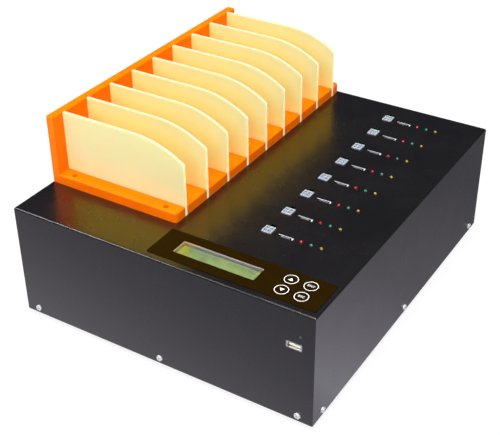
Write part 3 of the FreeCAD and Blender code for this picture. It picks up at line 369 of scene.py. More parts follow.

# %% [markdown]
# ## Frosted cream sheet
# The dividers are frosted sheet. Light goes in, spreads and comes back or leaves on the far side, so the
# sheet glows and its cut edges are paler than its faces. Subsurface scattering gives part of the glow, and
# a weak emission paints the rest, a painted glow. Between two sheets light bounces to and fro and turns a
# deeper yellow; an Ambient Occlusion node tells how deep a point lies between its neighbours, and that
# depth drives a painted deeper yellow in the colour and the painted glow. The edges are found by their
# normals: a face that looks along Y is the sheet, everything else is a cut edge, and the edges at the open
# end, which look along X, get the strongest painted glow, a painted highlight. The black coat mirrors the
# sheets at a low angle, where they look a deeper yellow, so rays from a mirror meet that deeper tone, a
# painted reflection colour.

# %% Frosted cream sheet
cream_sheet, tree, shader = new_finish("frosted_cream_sheet_painted_glow", (0.68, 0.61, 0.31), 0.5, IOR=1.35,
                                       Specular_IOR_Level=0.2, Subsurface_Weight=0.5,
                                       Subsurface_Scale=0.006, Subsurface_Radius=(1.0, 0.95, 0.45),
                                       Emission_Strength=1.0)
skin = add_group(tree, moulded_skin, Texture_per_mm=3.0, Clouds_per_mm=0.02)
facing = axes(tree, "NewGeometry", "Normal")
edge = remap(tree, calc(tree, "ABSOLUTE", facing["Y"]), 0.7, 0.3)
# Painted highlight: the edges at the open end, which look along X, get the strongest painted glow.
painted_end_highlight_mask = remap(tree, facing["X"], 0.5, 0.95)
# Painted light: the depth between neighbouring sheets drives a painted deeper yellow and a painted glow.
occlusion_for_painted_bounce = put(tree, "AmbientOcclusion", {"samples": 8}, Distance=80 * MM).outputs["AO"]
painted_glow_near_mask = remap(tree, occlusion_for_painted_bounce, 0.85, 0.6)
between = remap(tree, occlusion_for_painted_bounce, 0.52, 0.34)
# Painted reflection: rays from a mirror meet a deeper yellow and a weaker glow than the eye does.
painted_reflection_rays = put(tree, "LightPath").outputs["Is Glossy Ray"]
clouded = mix_colors(tree, skin["Cloud"], (0.64, 0.58, 0.285), (0.66, 0.6, 0.3))
faces = mix_colors(tree, between, clouded, (0.74, 0.66, 0.22))
sheet = mix_colors(tree, edge, faces, (0.56, 0.53, 0.34))
color_by(tree, painted_reflection_rays, sheet, (0.72, 0.5, 0.02), shader)
# Painted glow: an emission where no lamp is, stronger between the sheets than on the open faces.
painted_near_glow = mix_colors(tree, painted_glow_near_mask, (0.03, 0.05, 0.035), (0.1, 0.115, 0.075))
glow = mix_colors(tree, between, painted_near_glow, (0.12, 0.13, 0.045))
painted_glow_and_end_highlight = mix_colors(tree, painted_end_highlight_mask, glow, (0.44, 0.44, 0.25))
color_by(tree, painted_reflection_rays, painted_glow_and_end_highlight, (0.1, 0.07, 0.0), shader, "Emission Color")
raise_bump(tree, skin["Height"], shader, 0.006, 0.5)
dress(cream_sheet, *["divider_%d" % n for n in range(1, 10)])

# %% [markdown]
# ## Plated steel, brass and alloy
# Every bare metal is the same recipe round the tool-line group. The galvanised box of the power supply is
# cloudy, the nickel shell of the port is the brightest, and pins, contacts, spacers and the heat sink
# have colours of their own. The passivated zinc of the screws is dull and only half metallic; the others
# are plain metal.

# %% Bare metals
def bare_metal(name, dark, light, low, high, lines_per_mm, depth_mm, metallic=1.0):
    material, tree, shader = new_finish(name, light, (low + high) / 2, Metallic=metallic)
    lines = add_group(tree, tool_lines, Lines_per_mm=lines_per_mm)
    color_by(tree, lines["Mask"], dark, light, shader)
    haze_over(tree, shader, Patches_per_mm=0.3, Low=low, High=high)
    raise_bump(tree, lines["Height"], shader, depth_mm, 0.6)
    return material


screw_steel = bare_metal("zinc_plated_steel", (0.6, 0.6, 0.62), (0.76, 0.76, 0.78), 0.42, 0.55, 5.0, 0.01,
                         metallic=0.55)
box_steel = bare_metal("galvanised_sheet", (0.46, 0.47, 0.48), (0.62, 0.63, 0.64), 0.35, 0.5, 0.6, 0.01)
port_nickel = bare_metal("nickel_plate", (0.78, 0.75, 0.7), (0.93, 0.91, 0.87), 0.08, 0.18, 3.0, 0.003)
pin_tin = bare_metal("bright_tin", (0.62, 0.62, 0.64), (0.8, 0.8, 0.82), 0.2, 0.35, 8.0, 0.004)
contact_gold = bare_metal("gold_flash", (0.72, 0.5, 0.2), (0.95, 0.72, 0.34), 0.18, 0.3, 8.0, 0.004)
sink_alloy = bare_metal("anodised_alloy", (0.62, 0.62, 0.64), (0.78, 0.78, 0.8), 0.3, 0.42, 2.0, 0.008)
spacer_brass = bare_metal("turned_brass", (0.6, 0.44, 0.2), (0.8, 0.62, 0.3), 0.25, 0.38, 6.0, 0.008)
dress(screw_steel, "cover_screws", "rear_panel_screws", "foot_screws", "fan_screws", "rack_screws",
      "rack_wall_screws")
dress(box_steel, "power_supply")
dress(port_nickel, "usb_shell")
dress(pin_tin, "power_pins", "led_leads", "inlet_pins")
dress(contact_gold, "usb_contacts")
dress(sink_alloy, "heat_sink")
dress(spacer_brass, "board_spacers")

# %% [markdown]
# ## Moulded plastics and rubber
# Black nylon fittings, the fan, the white tongue of the port, the gasket round the display and the rubber
# feet are the same recipe with other numbers: the moulded-skin group clouds the colour, moves the
# roughness and gives the fine texture. The gasket's pale pinkish colour is a painted highlight: it draws
# the lit edge round the display window.

# %% Moulded plastics
def moulded(name, color, second, low, high, texture, depth_mm, **sockets):
    material, tree, shader = new_finish(name, color, (low + high) / 2, **sockets)
    skin = add_group(tree, moulded_skin, Texture_per_mm=texture, Clouds_per_mm=0.2)
    color_by(tree, skin["Cloud"], color, second, shader)
    rough_by(tree, skin["Cloud"], low, high, shader)
    raise_bump(tree, skin["Height"], shader, depth_mm, 0.6)
    return material


fitting_black = moulded("black_nylon", (0.012, 0.012, 0.013), (0.02, 0.02, 0.021), 0.38, 0.5, 4.0, 0.02)
fan_black = moulded("black_fan_plastic", (0.014, 0.014, 0.015), (0.022, 0.022, 0.024), 0.42, 0.55, 3.0,
                    0.02)
tongue_white = moulded("white_port_plastic", (0.86, 0.84, 0.8), (0.92, 0.9, 0.86), 0.4, 0.5, 5.0, 0.01)
rubber_black = moulded("black_rubber", (0.02, 0.02, 0.02), (0.035, 0.035, 0.035), 0.7, 0.85, 2.0, 0.04)
# Painted highlight: the gasket's pale pinkish colour draws the lit edge round the display window.
gasket_foam = moulded("gasket_foam", (0.27, 0.21, 0.18), (0.33, 0.26, 0.22), 0.8, 0.9, 6.0, 0.05)
dress(fitting_black, "inlet_housing", "switch_frame", "power_rocker", "terminal_block", "tact_switches")
dress(fan_black, "fan_frame", "fan_rotor")
dress(tongue_white, "usb_tongue")
dress(rubber_black, "rubber_feet")
dress(gasket_foam, "display_gasket")

# %% [markdown]
# ** White nylon.** Light that falls on a white power header spreads through its thin walls and comes out
# in the pockets, so the pockets look almost as bright as the rim. Shallow subsurface scattering alone
# leaves them too dark, so the colour is painted paler with depth below the rim, read from the Z of the
# object coordinates, as painted light in the pockets, and a weak emission is a painted glow that stands
# for the light that has come through the walls.

# %% White nylon
header_white, tree, shader = new_finish("white_nylon", (0.34, 0.4, 0.45), 0.55, Specular_IOR_Level=0.25,
                                        Subsurface_Weight=0.6, Subsurface_Scale=0.003,
                                        Emission_Strength=1.0)
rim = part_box("power_headers")[1].z
# Painted light: the pockets are painted paler with depth below the rim, and the emission is a painted
# glow.
deep = remap(tree, axes(tree)["Z"], rim - 1.5 * MM, rim - 4.0 * MM)
color_by(tree, deep, (0.34, 0.4, 0.45), (0.82, 0.87, 0.94), shader)
color_by(tree, deep, (0.0, 0.0, 0.0), (0.27, 0.3, 0.34), shader, "Emission Color")
skin = add_group(tree, moulded_skin, Texture_per_mm=4.0)
rough_by(tree, skin["Cloud"], 0.5, 0.6, shader)
raise_bump(tree, skin["Height"], shader, 0.01, 0.6)
dress(header_white, "power_headers")

# %% [markdown]
# ## Lamps
# A lamp is a small dome of tinted epoxy. Its colour sits deep inside and its skin is polished, so it
# shows dark colour with sharp white glints. Subsurface scattering gives the depth and a low roughness the
# glints.

# %% Lamps
def tinted_epoxy(name, deep, bright, glow):
    material, tree, shader = new_finish(name, deep, 0.08, IOR=1.55, Subsurface_Weight=0.6,
                                        Subsurface_Scale=0.002, Emission_Color=(*bright, 1.0),
                                        Emission_Strength=glow)
    skin = add_group(tree, moulded_skin, Texture_per_mm=1.2, Clouds_per_mm=0.8)
    color_by(tree, skin["Cloud"], deep, bright, shader)
    raise_bump(tree, skin["Height"], shader, 0.004, 0.3)
    return material


dress(tinted_epoxy("red_epoxy", (0.3, 0.004, 0.01), (0.48, 0.012, 0.024), 0.02), "red_leds")
dress(tinted_epoxy("green_epoxy", (0.008, 0.12, 0.07), (0.022, 0.24, 0.14), 0.02), "green_leds")
dress(tinted_epoxy("yellow_epoxy", (0.22, 0.15, 0.003), (0.38, 0.26, 0.007), 0.02), "yellow_leds")
dress(tinted_epoxy("status_green_epoxy", (0.004, 0.05, 0.03), (0.01, 0.11, 0.06), 0.05), "status_led")

# %% [markdown]
# ## Circuit boards
# Boards are hidden under the case, but they show through the fan grille and through the openings round
# the sockets, so they get their paint and tracks. The board under the sockets is painted black, so that
# the openings stay dark.

# %% Circuit boards
def painted_board(name, paint, track):
    material, tree, shader = new_finish(name, paint, 0.4)
    tracks = add_group(tree, board_tracks)
    color_by(tree, tracks["Tracks"], paint, track, shader)
    rough_by(tree, tracks["Tracks"], 0.42, 0.3, shader)
    raise_bump(tree, tracks["Tracks"], shader, 0.035, 0.7)
    return material


dress(painted_board("green_board", (0.01, 0.11, 0.04), (0.03, 0.24, 0.09)), "usb_board", "display_board",
      "keypad_board", "main_board")
dress(painted_board("black_board", (0.003, 0.003, 0.003), (0.008, 0.008, 0.008)), "port_board")

# %% [markdown]
# ## Control panel film
# The panel is a printed film with a velvet face: dark brown ink and hardly any gloss. Over the display
# the same film is clear and glossy, so the rack is mirrored in it. A glass shader casts a dark shadow
# unless light from the lamps may pass, so for shadow rays alone the clear film is swapped for a
# Transparent shader.

# %% Printed film and clear window
overlay_film, tree, shader = new_finish("printed_film", (0.0135, 0.0064, 0.0), 0.5, IOR=1.2,
                                        Specular_IOR_Level=0.1)
skin = add_group(tree, moulded_skin, Texture_per_mm=8.0, Clouds_per_mm=0.05)
color_by(tree, skin["Cloud"], (0.0125, 0.0058, 0.0), (0.0145, 0.007, 0.0), shader)
rough_by(tree, skin["Cloud"], 0.48, 0.55, shader)
raise_bump(tree, skin["Height"], shader, 0.003, 0.5)
dress(overlay_film, "panel_overlay", "key_up", "key_down", "key_enter", "key_escape")

window_clear, tree, shader = new_finish("clear_film", (1.0, 1.0, 1.0), 0.03, IOR=1.8,
                                        Transmission_Weight=1.0)
haze_over(tree, shader, Patches_per_mm=0.1, Low=0.01, High=0.05)
shadow = put(tree, "LightPath").outputs["Is Shadow Ray"]
blend_shaders(tree, shadow, shader, put(tree, "BsdfTransparent", Color=(0.93, 0.93, 0.93, 1)))
dress(window_clear, "display_window")

# %% [markdown]
# ## Display
# A reflective liquid crystal panel is yellow-green, a little uneven because its backlight sits at one
# end, and held in a black stamped bezel. A low emission stands for the backlight.

# %% Display glass and bezel
display_green, tree, shader = new_finish("display_green", (0.1, 0.125, 0.05), 0.35,
                                         Specular_IOR_Level=0.0, Emission_Strength=0.02,
                                         Emission_Color=(0.5, 0.7, 0.2, 1.0))
skin = add_group(tree, moulded_skin, Texture_per_mm=1.5, Clouds_per_mm=0.04)
color_by(tree, skin["Cloud"], (0.076, 0.118, 0.02), (0.09, 0.136, 0.026), shader)
rough_by(tree, skin["Cloud"], 0.3, 0.4, shader)
dress(display_green, "display_glass")
bezel_black = moulded("bezel_black", (0.035, 0.035, 0.04), (0.05, 0.05, 0.055), 0.35, 0.45, 3.0, 0.006)
dress(bezel_black, "display_bezel")

# %% [markdown]
# ## Modelling by hand
# New pieces are made the way a person makes them: add a primitive at its size and place, go into edit
# mode, choose faces, inset, extrude, bevel, and finish with modifiers. Operators work on whatever is
# selected, and the loaded solids start out selected, so every step begins by clearing the choice.

# %% Modelling helpers
def clear_choice():
    if bpy.context.object and bpy.context.object.mode != "OBJECT":
        bpy.ops.object.mode_set(mode="OBJECT")
    bpy.ops.object.select_all(action="DESELECT")


def take(piece):
    """Make one piece the active and only selected object."""
    clear_choice()
    bpy.context.view_layer.objects.active = piece
    piece.select_set(True)


def name_it(name):
    """Name the piece just added, and move its place and size into its mesh."""
    piece = bpy.context.object
    piece.name = name
    piece.data.name = name
    bpy.ops.object.transform_apply(location=True, rotation=True, scale=True)
    return piece


def open_edit(piece, kind):
    take(piece)
    bpy.ops.object.mode_set(mode="EDIT")
    bpy.ops.mesh.select_mode(type=kind)
    bpy.ops.mesh.select_all(action="DESELECT")


def close_edit():
    bpy.ops.object.mode_set(mode="OBJECT")


def choose(piece, kind, test):
    """In edit mode, select the faces, edges or points that pass a test."""
    mesh = bmesh.from_edit_mesh(piece.data)
    bpy.ops.mesh.select_all(action="DESELECT")
    for item in getattr(mesh, kind):
        if test(item):
            item.select_set(True)
    bmesh.update_edit_mesh(piece.data)


def high(level):
    """Test for edges or faces that lie wholly at one height."""
    return lambda item: all(abs(v.co.z - level) < 1e-5 for v in item.verts)


def bevel_edges(piece, level, width, steps):
    """In edit mode, bevel the edges that lie at one height."""
    bpy.ops.mesh.select_mode(type="EDGE")
    choose(piece, "edges", high(level))
    bpy.ops.mesh.bevel(offset=width, segments=steps, affect="EDGES")


def pull_out(x, y, z):
    """In edit mode, extrude the chosen faces by this much."""
    bpy.ops.mesh.extrude_region_move(TRANSFORM_OT_translate={"value": (x, y, z)})


def modify(piece, kind, **settings):
    """Add a modifier to a piece and apply it."""
    take(piece)
    step = piece.modifiers.new(kind.lower(), kind)
    for key, value in settings.items():
        setattr(step, key, value)
    bpy.ops.object.modifier_apply(modifier=step.name)


def cut_with(piece, cutter):
    """Take a cutter's shape out of a piece, then throw the cutter away."""
    modify(piece, "BOOLEAN", operation="DIFFERENCE", solver="EXACT", object=cutter)
    bpy.data.objects.remove(cutter)


def soften(piece):
    take(piece)
    bpy.ops.object.shade_smooth_by_angle(angle=math.radians(35))


def finish_piece(piece, finish, body):
    """Give a piece its finish, the body that it rides on and the slot of its finish."""
    piece.data.materials.clear()
    piece.data.materials.append(finish)
    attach(piece, body)


print("modelling helpers ready")

# %% [markdown]
# ## Where the screws are
# One node holds all the screws of a kind, so their places are read back from its mesh. A copy of the mesh
# is merged, because the loaded solids are loose triangles, and walked from point to point: each connected
# island is one screw. The box of an island gives its centre and how far its head stands out.

# %% Read the islands of a node
def islands(name):
    """Lowest and highest corner of every separate solid in a node."""
    mesh = bmesh.new()
    mesh.from_mesh(nodes[name].data)
    bmesh.ops.remove_doubles(mesh, verts=mesh.verts, dist=1e-6)
    left = set(mesh.verts)
    boxes = []
    while left:
        start = left.pop()
        found, waiting = [start], [start]
        while waiting:
            for line in waiting.pop().link_edges:
                for point in line.verts:
                    if point in left:
                        left.discard(point)
                        found.append(point)
                        waiting.append(point)
        low = Vector([min(v.co[i] for v in found) for i in range(3)])
        top = Vector([max(v.co[i] for v in found) for i in range(3)])
        boxes.append((low, top))
    mesh.free()
    return sorted(boxes, key=lambda box: tuple(round(v, 4) for v in box[0]))


def stand_at(model, name, seat, axis, node, finish):
    """Copy a model with its own mesh, standing on seat with its +Z along axis, in place of a node."""
    piece = bpy.data.objects.new(name, model.data.copy())
    piece.data.name = name
    bpy.context.scene.collection.objects.link(piece)
    turn = Vector((0, 0, 1)).rotation_difference(Vector(axis)).to_matrix().to_4x4()
    piece.data.transform(Matrix.Translation(seat) @ turn)
    finish_piece(piece, finish, "chassis")
    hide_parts(node)


for name in ("cover_screws", "rear_panel_screws", "fan_screws", "foot_screws", "rack_screws"):
    print(name, len(islands(name)))

# %% [markdown]
# ## Pan-head screw with a cross recess
# A pan head is a low cylinder with a rounded rim. It starts as a cylinder of the right size; its upper
# rim is bevelled in a few steps; the underside is inset to the shank's radius and pulled out into the
# shank. The recess is two tapered bars, cut out one after the other.

# %% Pan-head screw
HEAD_R, HEAD_H, SHANK_R = 3.0 * MM, 1.8 * MM, 1.5 * MM
SHANK_LENGTH, TIP_LENGTH = 5.4 * MM, 0.4 * MM
RECESS_BAR = Vector((3.4, 0.8, 2.4)) * MM


def screw_head(name, sides, radius, height, rim, steps):
    """A cylinder with its upper rim bevelled, left in edit mode with its underside inset to the shank."""
    clear_choice()
    bpy.ops.mesh.primitive_cylinder_add(vertices=sides, radius=radius, depth=height,
                                        location=(0, 0, height / 2))
    head = name_it(name)
    open_edit(head, "EDGE")
    bevel_edges(head, height, rim, steps)
    bpy.ops.mesh.select_mode(type="FACE")
    choose(head, "faces", high(0.0))
    bpy.ops.mesh.inset(thickness=radius - SHANK_R)
    return head


def recess_bar(across):
    """One bar of the cross, narrower at its foot."""
    clear_choice()
    bpy.ops.mesh.primitive_cube_add(size=1.0, location=(0, 0, HEAD_H), scale=RECESS_BAR)
    bar = name_it("recess_bar")
    open_edit(bar, "VERT")
    choose(bar, "verts", lambda v: v.co.z < HEAD_H)
    bpy.ops.transform.resize(value=(0.35, 0.6, 1.0))
    close_edit()
    bar.data.transform(Matrix.Rotation(across, 4, "Z"))
    return bar


pan_screw = screw_head("pan_screw_model", 32, HEAD_R, HEAD_H, 1.05 * MM, 4)
pull_out(0, 0, -(SHANK_LENGTH - TIP_LENGTH))
pull_out(0, 0, -TIP_LENGTH)
bpy.ops.transform.resize(value=(0.75, 0.75, 1.0))
close_edit()
for across in (0.0, math.pi / 2):
    cut_with(pan_screw, recess_bar(across))
soften(pan_screw)
print("pan screw faces:", len(pan_screw.data.polygons))

# %% [markdown]
# Each screw is turned so that its head points out of the sheet it holds. Which way that is follows from
# where the island sits: on the left or right side of the case, on its front, on its rear, or underneath.

# %% Place the pan-head screws
case_low, case_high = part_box("top_cover")


def outward(low, top):
    """Seat and outward direction of a screw from the box of its solid."""
    middle = (low + top) / 2
    tall = [top[i] - low[i] for i in range(3)]
    along = max(range(3), key=lambda i: abs(tall[i] - 2 * HEAD_R) > 1e-5)
    outside = 1.0 if middle[along] > (case_low[along] + case_high[along]) / 2 else -1.0
    seat = middle.copy()
    seat[along] = (top[along] if outside > 0 else low[along]) - outside * HEAD_H
    axis = Vector((0, 0, 0))
    axis[along] = outside
    return seat, axis


for kind in ("cover_screws", "rear_panel_screws", "fan_screws", "foot_screws"):
    for count, (low, top) in enumerate(islands(kind), 1):
        seat, axis = outward(low, top)
        stand_at(pan_screw, "%s_%d" % (kind[:-1], count), seat, axis, kind, screw_steel)
    print(kind, count, "last axis", tuple(axis))
bpy.data.objects.remove(pan_screw)

# %% [markdown]
# ## Cap screw with a hexagon socket
# The rack is held by cap screws sunk in its base. The head is a plain cylinder with a hexagon socket, and
# it starts as the pan head does. A six-sided cylinder cuts the socket.

# %% Cap screw
CAP_R, CAP_H, CAP_SHANK, SOCKET_R, SOCKET_DEPTH = 2.6 * MM, 2.5 * MM, 7.5 * MM, 1.45 * MM, 1.5 * MM
cap_screw = screw_head("cap_screw_model", 36, CAP_R, CAP_H, 0.25 * MM, 2)
pull_out(0, 0, -CAP_SHANK)
clear_choice()
bpy.ops.mesh.primitive_cylinder_add(vertices=6, radius=SOCKET_R, depth=2 * SOCKET_DEPTH,
                                    location=(0, 0, CAP_H))
cut_with(cap_screw, name_it("hexagon"))
soften(cap_screw)
for count, (low, top) in enumerate(islands("rack_screws"), 1):
    seat = Vector(((low.x + top.x) / 2, (low.y + top.y) / 2, top.z - CAP_H))
    stand_at(cap_screw, "rack_screw_%d" % count, seat, (0, 0, 1), "rack_screws", screw_steel)
bpy.data.objects.remove(cap_screw)
print("rack screws placed:", count)

# %% [markdown]
# ## Data headers
# A data header is a thin black shell round an L-shaped tongue. Its sharp moulded edges are what the eye
# sees, so it is modelled again with small bevels, and the tongue is a piece of its own. The shell starts
# as a block: the top is inset by the wall and pushed down to the floor.
#
# Light catches only the rear strip and the leg of the tongue's top, and the rest of it stays dark, so that
# highlight is painted into its colour from a mask: a painted highlight, pale on the strip and the leg and
# near black elsewhere. The eight tongues stand in a row along Y, and Wrap brings every place in the row
# back to the first of them: one rule then marks the painted strip on all eight.

# %% Data header
shell_finish = moulded("black_header", (0.008, 0.008, 0.01), (0.014, 0.014, 0.016), 0.3, 0.4, 4.0, 0.006)
header_boxes = islands("sata_headers")
low, top = header_boxes[0]
middle = (low + top) / 2
HEADER = top - low
PITCH = header_boxes[1][0].y - low.y
WALL, FLOOR = 0.7 * MM, 6.0 * MM
TONGUE_T, HIGHLIGHT_STRIP_T, LEG_T, LEG_LENGTH = 1.8 * MM, 0.85 * MM, 1.1 * MM, 3.1 * MM
BACK = HEADER.y / 2 - WALL - 0.2 * MM
END = HEADER.x / 2 - WALL - 0.9 * MM
LEG_X = END - LEG_T
clear_choice()
bpy.ops.mesh.primitive_cube_add(size=1.0, location=(0, 0, -HEADER.z / 2), scale=HEADER)
shell = name_it("header_shell_model")
open_edit(shell, "FACE")
choose(shell, "faces", high(0.0))
bpy.ops.mesh.inset(thickness=WALL)
pull_out(0, 0, -FLOOR)
bevel_edges(shell, 0.0, 0.12 * MM, 2)
soften(shell)
print("header size in mm:", [round(v / MM, 2) for v in HEADER])

# %% Tongue plastic with a painted highlight
tongue_finish, tree, shader = new_finish("tongue_plastic_painted_highlight", (0.3, 0.3, 0.37), 0.35)
place = axes(tree)
in_row = calc(tree, "WRAP", place["Y"], middle.y + PITCH / 2, middle.y - PITCH / 2)
painted_highlight_strip = calc(tree, "GREATER_THAN", in_row, middle.y + BACK - HIGHLIGHT_STRIP_T)
painted_highlight_leg = calc(tree, "GREATER_THAN", place["X"], middle.x + LEG_X)
on_top = calc(tree, "GREATER_THAN", place["Z"], top.z - 0.3 * MM)
# Painted highlight: the rear strip and the leg of the tongue's top are pale, the rest near black.
painted_highlight_mask = calc(tree, "MULTIPLY", calc(tree, "MAXIMUM", painted_highlight_strip, painted_highlight_leg), on_top)
color_by(tree, painted_highlight_mask, (0.004, 0.004, 0.006), (0.66, 0.66, 0.74), shader)
skin = add_group(tree, moulded_skin, Texture_per_mm=4.0, Clouds_per_mm=0.3)
rough_by(tree, skin["Cloud"], 0.3, 0.4, shader)
raise_bump(tree, skin["Height"], shader, 0.006, 0.6)
print("rows are", round(PITCH / MM, 1), "mm apart")

# %% [markdown]
# The tongue is an upright plate with a short leg at its right-hand end. The plate is a block; the leg is
# pulled out of a strip of its front face, which a bisect cut marks first. The contacts stay the solids'
# own.

# %% Data tongue
clear_choice()
bpy.ops.mesh.primitive_cube_add(size=1.0, location=(0, BACK - TONGUE_T / 2, -FLOOR / 2),
                                scale=(2 * END, TONGUE_T, FLOOR))
tongue = name_it("header_tongue_model")
open_edit(tongue, "FACE")
bpy.ops.mesh.select_all(action="SELECT")
bpy.ops.mesh.bisect(plane_co=(LEG_X, 0, 0), plane_no=(1, 0, 0))
choose(tongue, "faces", lambda f: f.normal.y < -0.9 and f.calc_center_median().x > LEG_X)
pull_out(0, TONGUE_T - LEG_LENGTH, 0)
bevel_edges(tongue, 0.0, 0.15 * MM, 2)
soften(tongue)
for count, (low, top) in enumerate(header_boxes, 1):
    seat = Vector(((low.x + top.x) / 2, (low.y + top.y) / 2, top.z))
    for model, kind, finish in ((shell, "shell", shell_finish), (tongue, "tongue", tongue_finish)):
        stand_at(model, "data_header_%s_%d" % (kind, count), seat, (0, 0, 1), "sata_headers", finish)
bpy.data.objects.remove(shell)
bpy.data.objects.remove(tongue)
dress(shell_finish, "sata_headers")
contact_nickel = moulded("matt_nickel", (0.62, 0.61, 0.67), (0.72, 0.71, 0.77), 0.35, 0.45, 8.0, 0.003,
                         Metallic=0.35)
dress(contact_nickel, "sata_contacts")
print("data headers:", count)

# %% [markdown]
# ## Key legends
# Each key carries a white printed ring with a sign inside: an arrow up, an arrow down, and the short
# words for enter and escape. Print has almost no thickness, so each legend is a sheet a few hundredths of
# a millimetre thick. The ring is a circle of edges, pulled inwards to make a flat band, and thickened by
# Solidify.

# %% Print helpers
print_white = moulded("white_print", (0.86, 0.86, 0.84), (0.9, 0.9, 0.88), 0.5, 0.6, 8.0, 0.002)
PRINT_T = 0.03 * MM


def thicken(piece):
    modify(piece, "SOLIDIFY", thickness=PRINT_T, offset=1.0)


def face_up(piece):
    if piece.data.polygons[0].normal.z < 0:
        piece.data.flip_normals()


def printed_ring(name, x, y, z, outer, inner, points):
    clear_choice()
    bpy.ops.mesh.primitive_circle_add(vertices=points, radius=outer, location=(x, y, z),
                                      fill_type="NOTHING")
    ring = name_it(name)
    open_edit(ring, "EDGE")
    bpy.ops.mesh.select_all(action="SELECT")
    bpy.ops.mesh.extrude_edges_move()
    bpy.ops.transform.resize(value=(inner / outer, inner / outer, 1.0), center_override=(x, y, z))
    bpy.ops.mesh.select_all(action="SELECT")
    bpy.ops.mesh.normals_make_consistent(inside=False)
    close_edit()
    face_up(ring)
    thicken(ring)
    return ring


def round_corners():
    """In edit mode, round every corner of a flat mark."""
    bpy.ops.mesh.select_all(action="SELECT")
    bpy.ops.mesh.bevel(offset=0.2 * MM, segments=2, affect="VERTICES")
    close_edit()


def printed_arrow(name, x, y, z, size, up):
    """A triangle on its point or its base, lowered or raised so that it looks centred."""
    shift, turn = (-size / 4, 0) if up else (size / 4, math.pi)
    clear_choice()
    bpy.ops.mesh.primitive_circle_add(vertices=3, radius=size, location=(x, y + shift, z),
                                      rotation=(0, 0, turn), fill_type="NGON")
    arrow = name_it(name)
    face_up(arrow)
    open_edit(arrow, "VERT")
    bpy.ops.mesh.select_all(action="SELECT")
    bpy.ops.transform.resize(value=(1.0, 0.9, 1.0), center_override=(x, y, z))
    round_corners()
    thicken(arrow)
    return arrow


def printed_word(name, word, x, y, z, size):
    clear_choice()
    bpy.ops.object.text_add(location=(x, y, z))
    text = bpy.context.object
    text.data.body = word
    text.data.size = size
    text.data.align_x = "CENTER"
    text.data.align_y = "CENTER"
    text.data.extrude = PRINT_T / 2
    text.data.offset = 0.01 * MM
    bpy.ops.object.convert(target="MESH")
    return name_it(name)


print("print helpers ready")

# %% Print the keys
RING_OUTER, RING_INNER, ARROW_SIZE, WORD_SIZE = 6.25 * MM, 5.6 * MM, 2.7 * MM, 3.6 * MM
for key, body, sign in (("key_up", "up_key", "up"), ("key_down", "down_key", "down"),
                        ("key_enter", "enter_key", "ENT"), ("key_escape", "escape_key", "ESC")):
    low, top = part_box(key)
    x, y, z = (low.x + top.x) / 2, (low.y + top.y) / 2, top.z
    pieces = [printed_ring(key + "_ring", x, y, z, RING_OUTER, RING_INNER, 64)]
    if sign in ("up", "down"):
        pieces.append(printed_arrow(key + "_arrow", x, y, z, ARROW_SIZE, sign == "up"))
    else:
        pieces.append(printed_word(key + "_word", sign, x, y, z + PRINT_T / 2, WORD_SIZE))
    for piece in pieces:
        finish_piece(piece, print_white, body)
    print(key, "legend at", [round(v / MM, 2) for v in (x, y, z)])

# %% [markdown]
# ## Characters on the display
# A character display draws every sign with five by seven dots, and a gap follows each sign and each line.
# All dots together are one fine grid, so the grid is added as a single primitive, every square is looked
# up in a small table of signs, the pale ones are deleted, and an individual inset leaves a hairline
# between the dots.

# %% Dot signs
SIGNS = {
    "0": "01110 10001 10011 10101 11001 10001 01110", "1": "00100 01100 00100 00100 00100 00100 01110",
    "2": "01110 10001 00001 00010 00100 01000 11111", "3": "11111 00010 00100 00010 00001 10001 01110",
    "4": "00010 00110 01010 10010 11111 00010 00010", "5": "11111 10000 11110 00001 00001 10001 01110",
    "6": "00110 01000 10000 11110 10001 10001 01110", "8": "01110 10001 10001 01110 10001 10001 01110",
    "-": "00000 00000 00000 11111 00000 00000 00000", ":": "00000 01100 01100 00000 01100 01100 00000",
    "/": "00000 00001 00010 00100 01000 10000 00000", " ": " ".join(["00000"] * 7),
}
LINES = ("2020-01-01  12:34:56", "08 / 08             ")
CELL_X, CELL_Y, LIFT, HAIRLINE = 0.58 * MM, 0.61 * MM, 1.4 * MM, 0.006 * MM
SIGN_WIDE, LINE_TALL = 6, 9
DOTS_WIDE, DOTS_TALL = 20 * SIGN_WIDE, 16


def is_dark(column, row):
    """Whether the dot in this column, counted from the left, and row, from the top, is dark."""
    line, down = divmod(row, LINE_TALL)
    place, across = divmod(column, SIGN_WIDE)
    if line > 1 or down > 6 or across > 4:
        return False
    return SIGNS[LINES[line][place]].split()[down][across] == "1"


glass_low, glass_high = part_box("display_glass")
middle = (glass_low + glass_high) / 2
wide, tall = CELL_X * DOTS_WIDE, CELL_Y * DOTS_TALL
clear_choice()
bpy.ops.mesh.primitive_grid_add(x_subdivisions=DOTS_WIDE, y_subdivisions=DOTS_TALL, size=1.0,
                                location=(middle.x, middle.y + LIFT, glass_high.z + 0.03 * MM))
bpy.context.object.scale = (wide, tall, 1.0)
signs = name_it("display_characters")
left, rear = middle.x - wide / 2, middle.y + LIFT + tall / 2
open_edit(signs, "FACE")
choose(signs, "faces", lambda f: not is_dark(int((f.calc_center_median().x - left) / CELL_X),
                                             int((rear - f.calc_center_median().y) / CELL_Y)))
bpy.ops.mesh.delete(type="FACE")
bpy.ops.mesh.select_all(action="SELECT")
bpy.ops.mesh.inset(thickness=HAIRLINE, use_individual=True)
bpy.ops.mesh.select_all(action="INVERT")
bpy.ops.mesh.delete(type="FACE")
close_edit()
liquid_dark, tree, shader = new_finish("liquid_crystal_dark", (0.003, 0.016, 0.02), 0.5,
                                       Specular_IOR_Level=0.0)
skin = add_group(tree, moulded_skin, Texture_per_mm=2.0, Clouds_per_mm=0.1)
color_by(tree, skin["Cloud"], (0.002, 0.012, 0.016), (0.004, 0.02, 0.025), shader)
finish_piece(signs, liquid_dark, "chassis")
print("dots on the display:", len(signs.data.polygons))

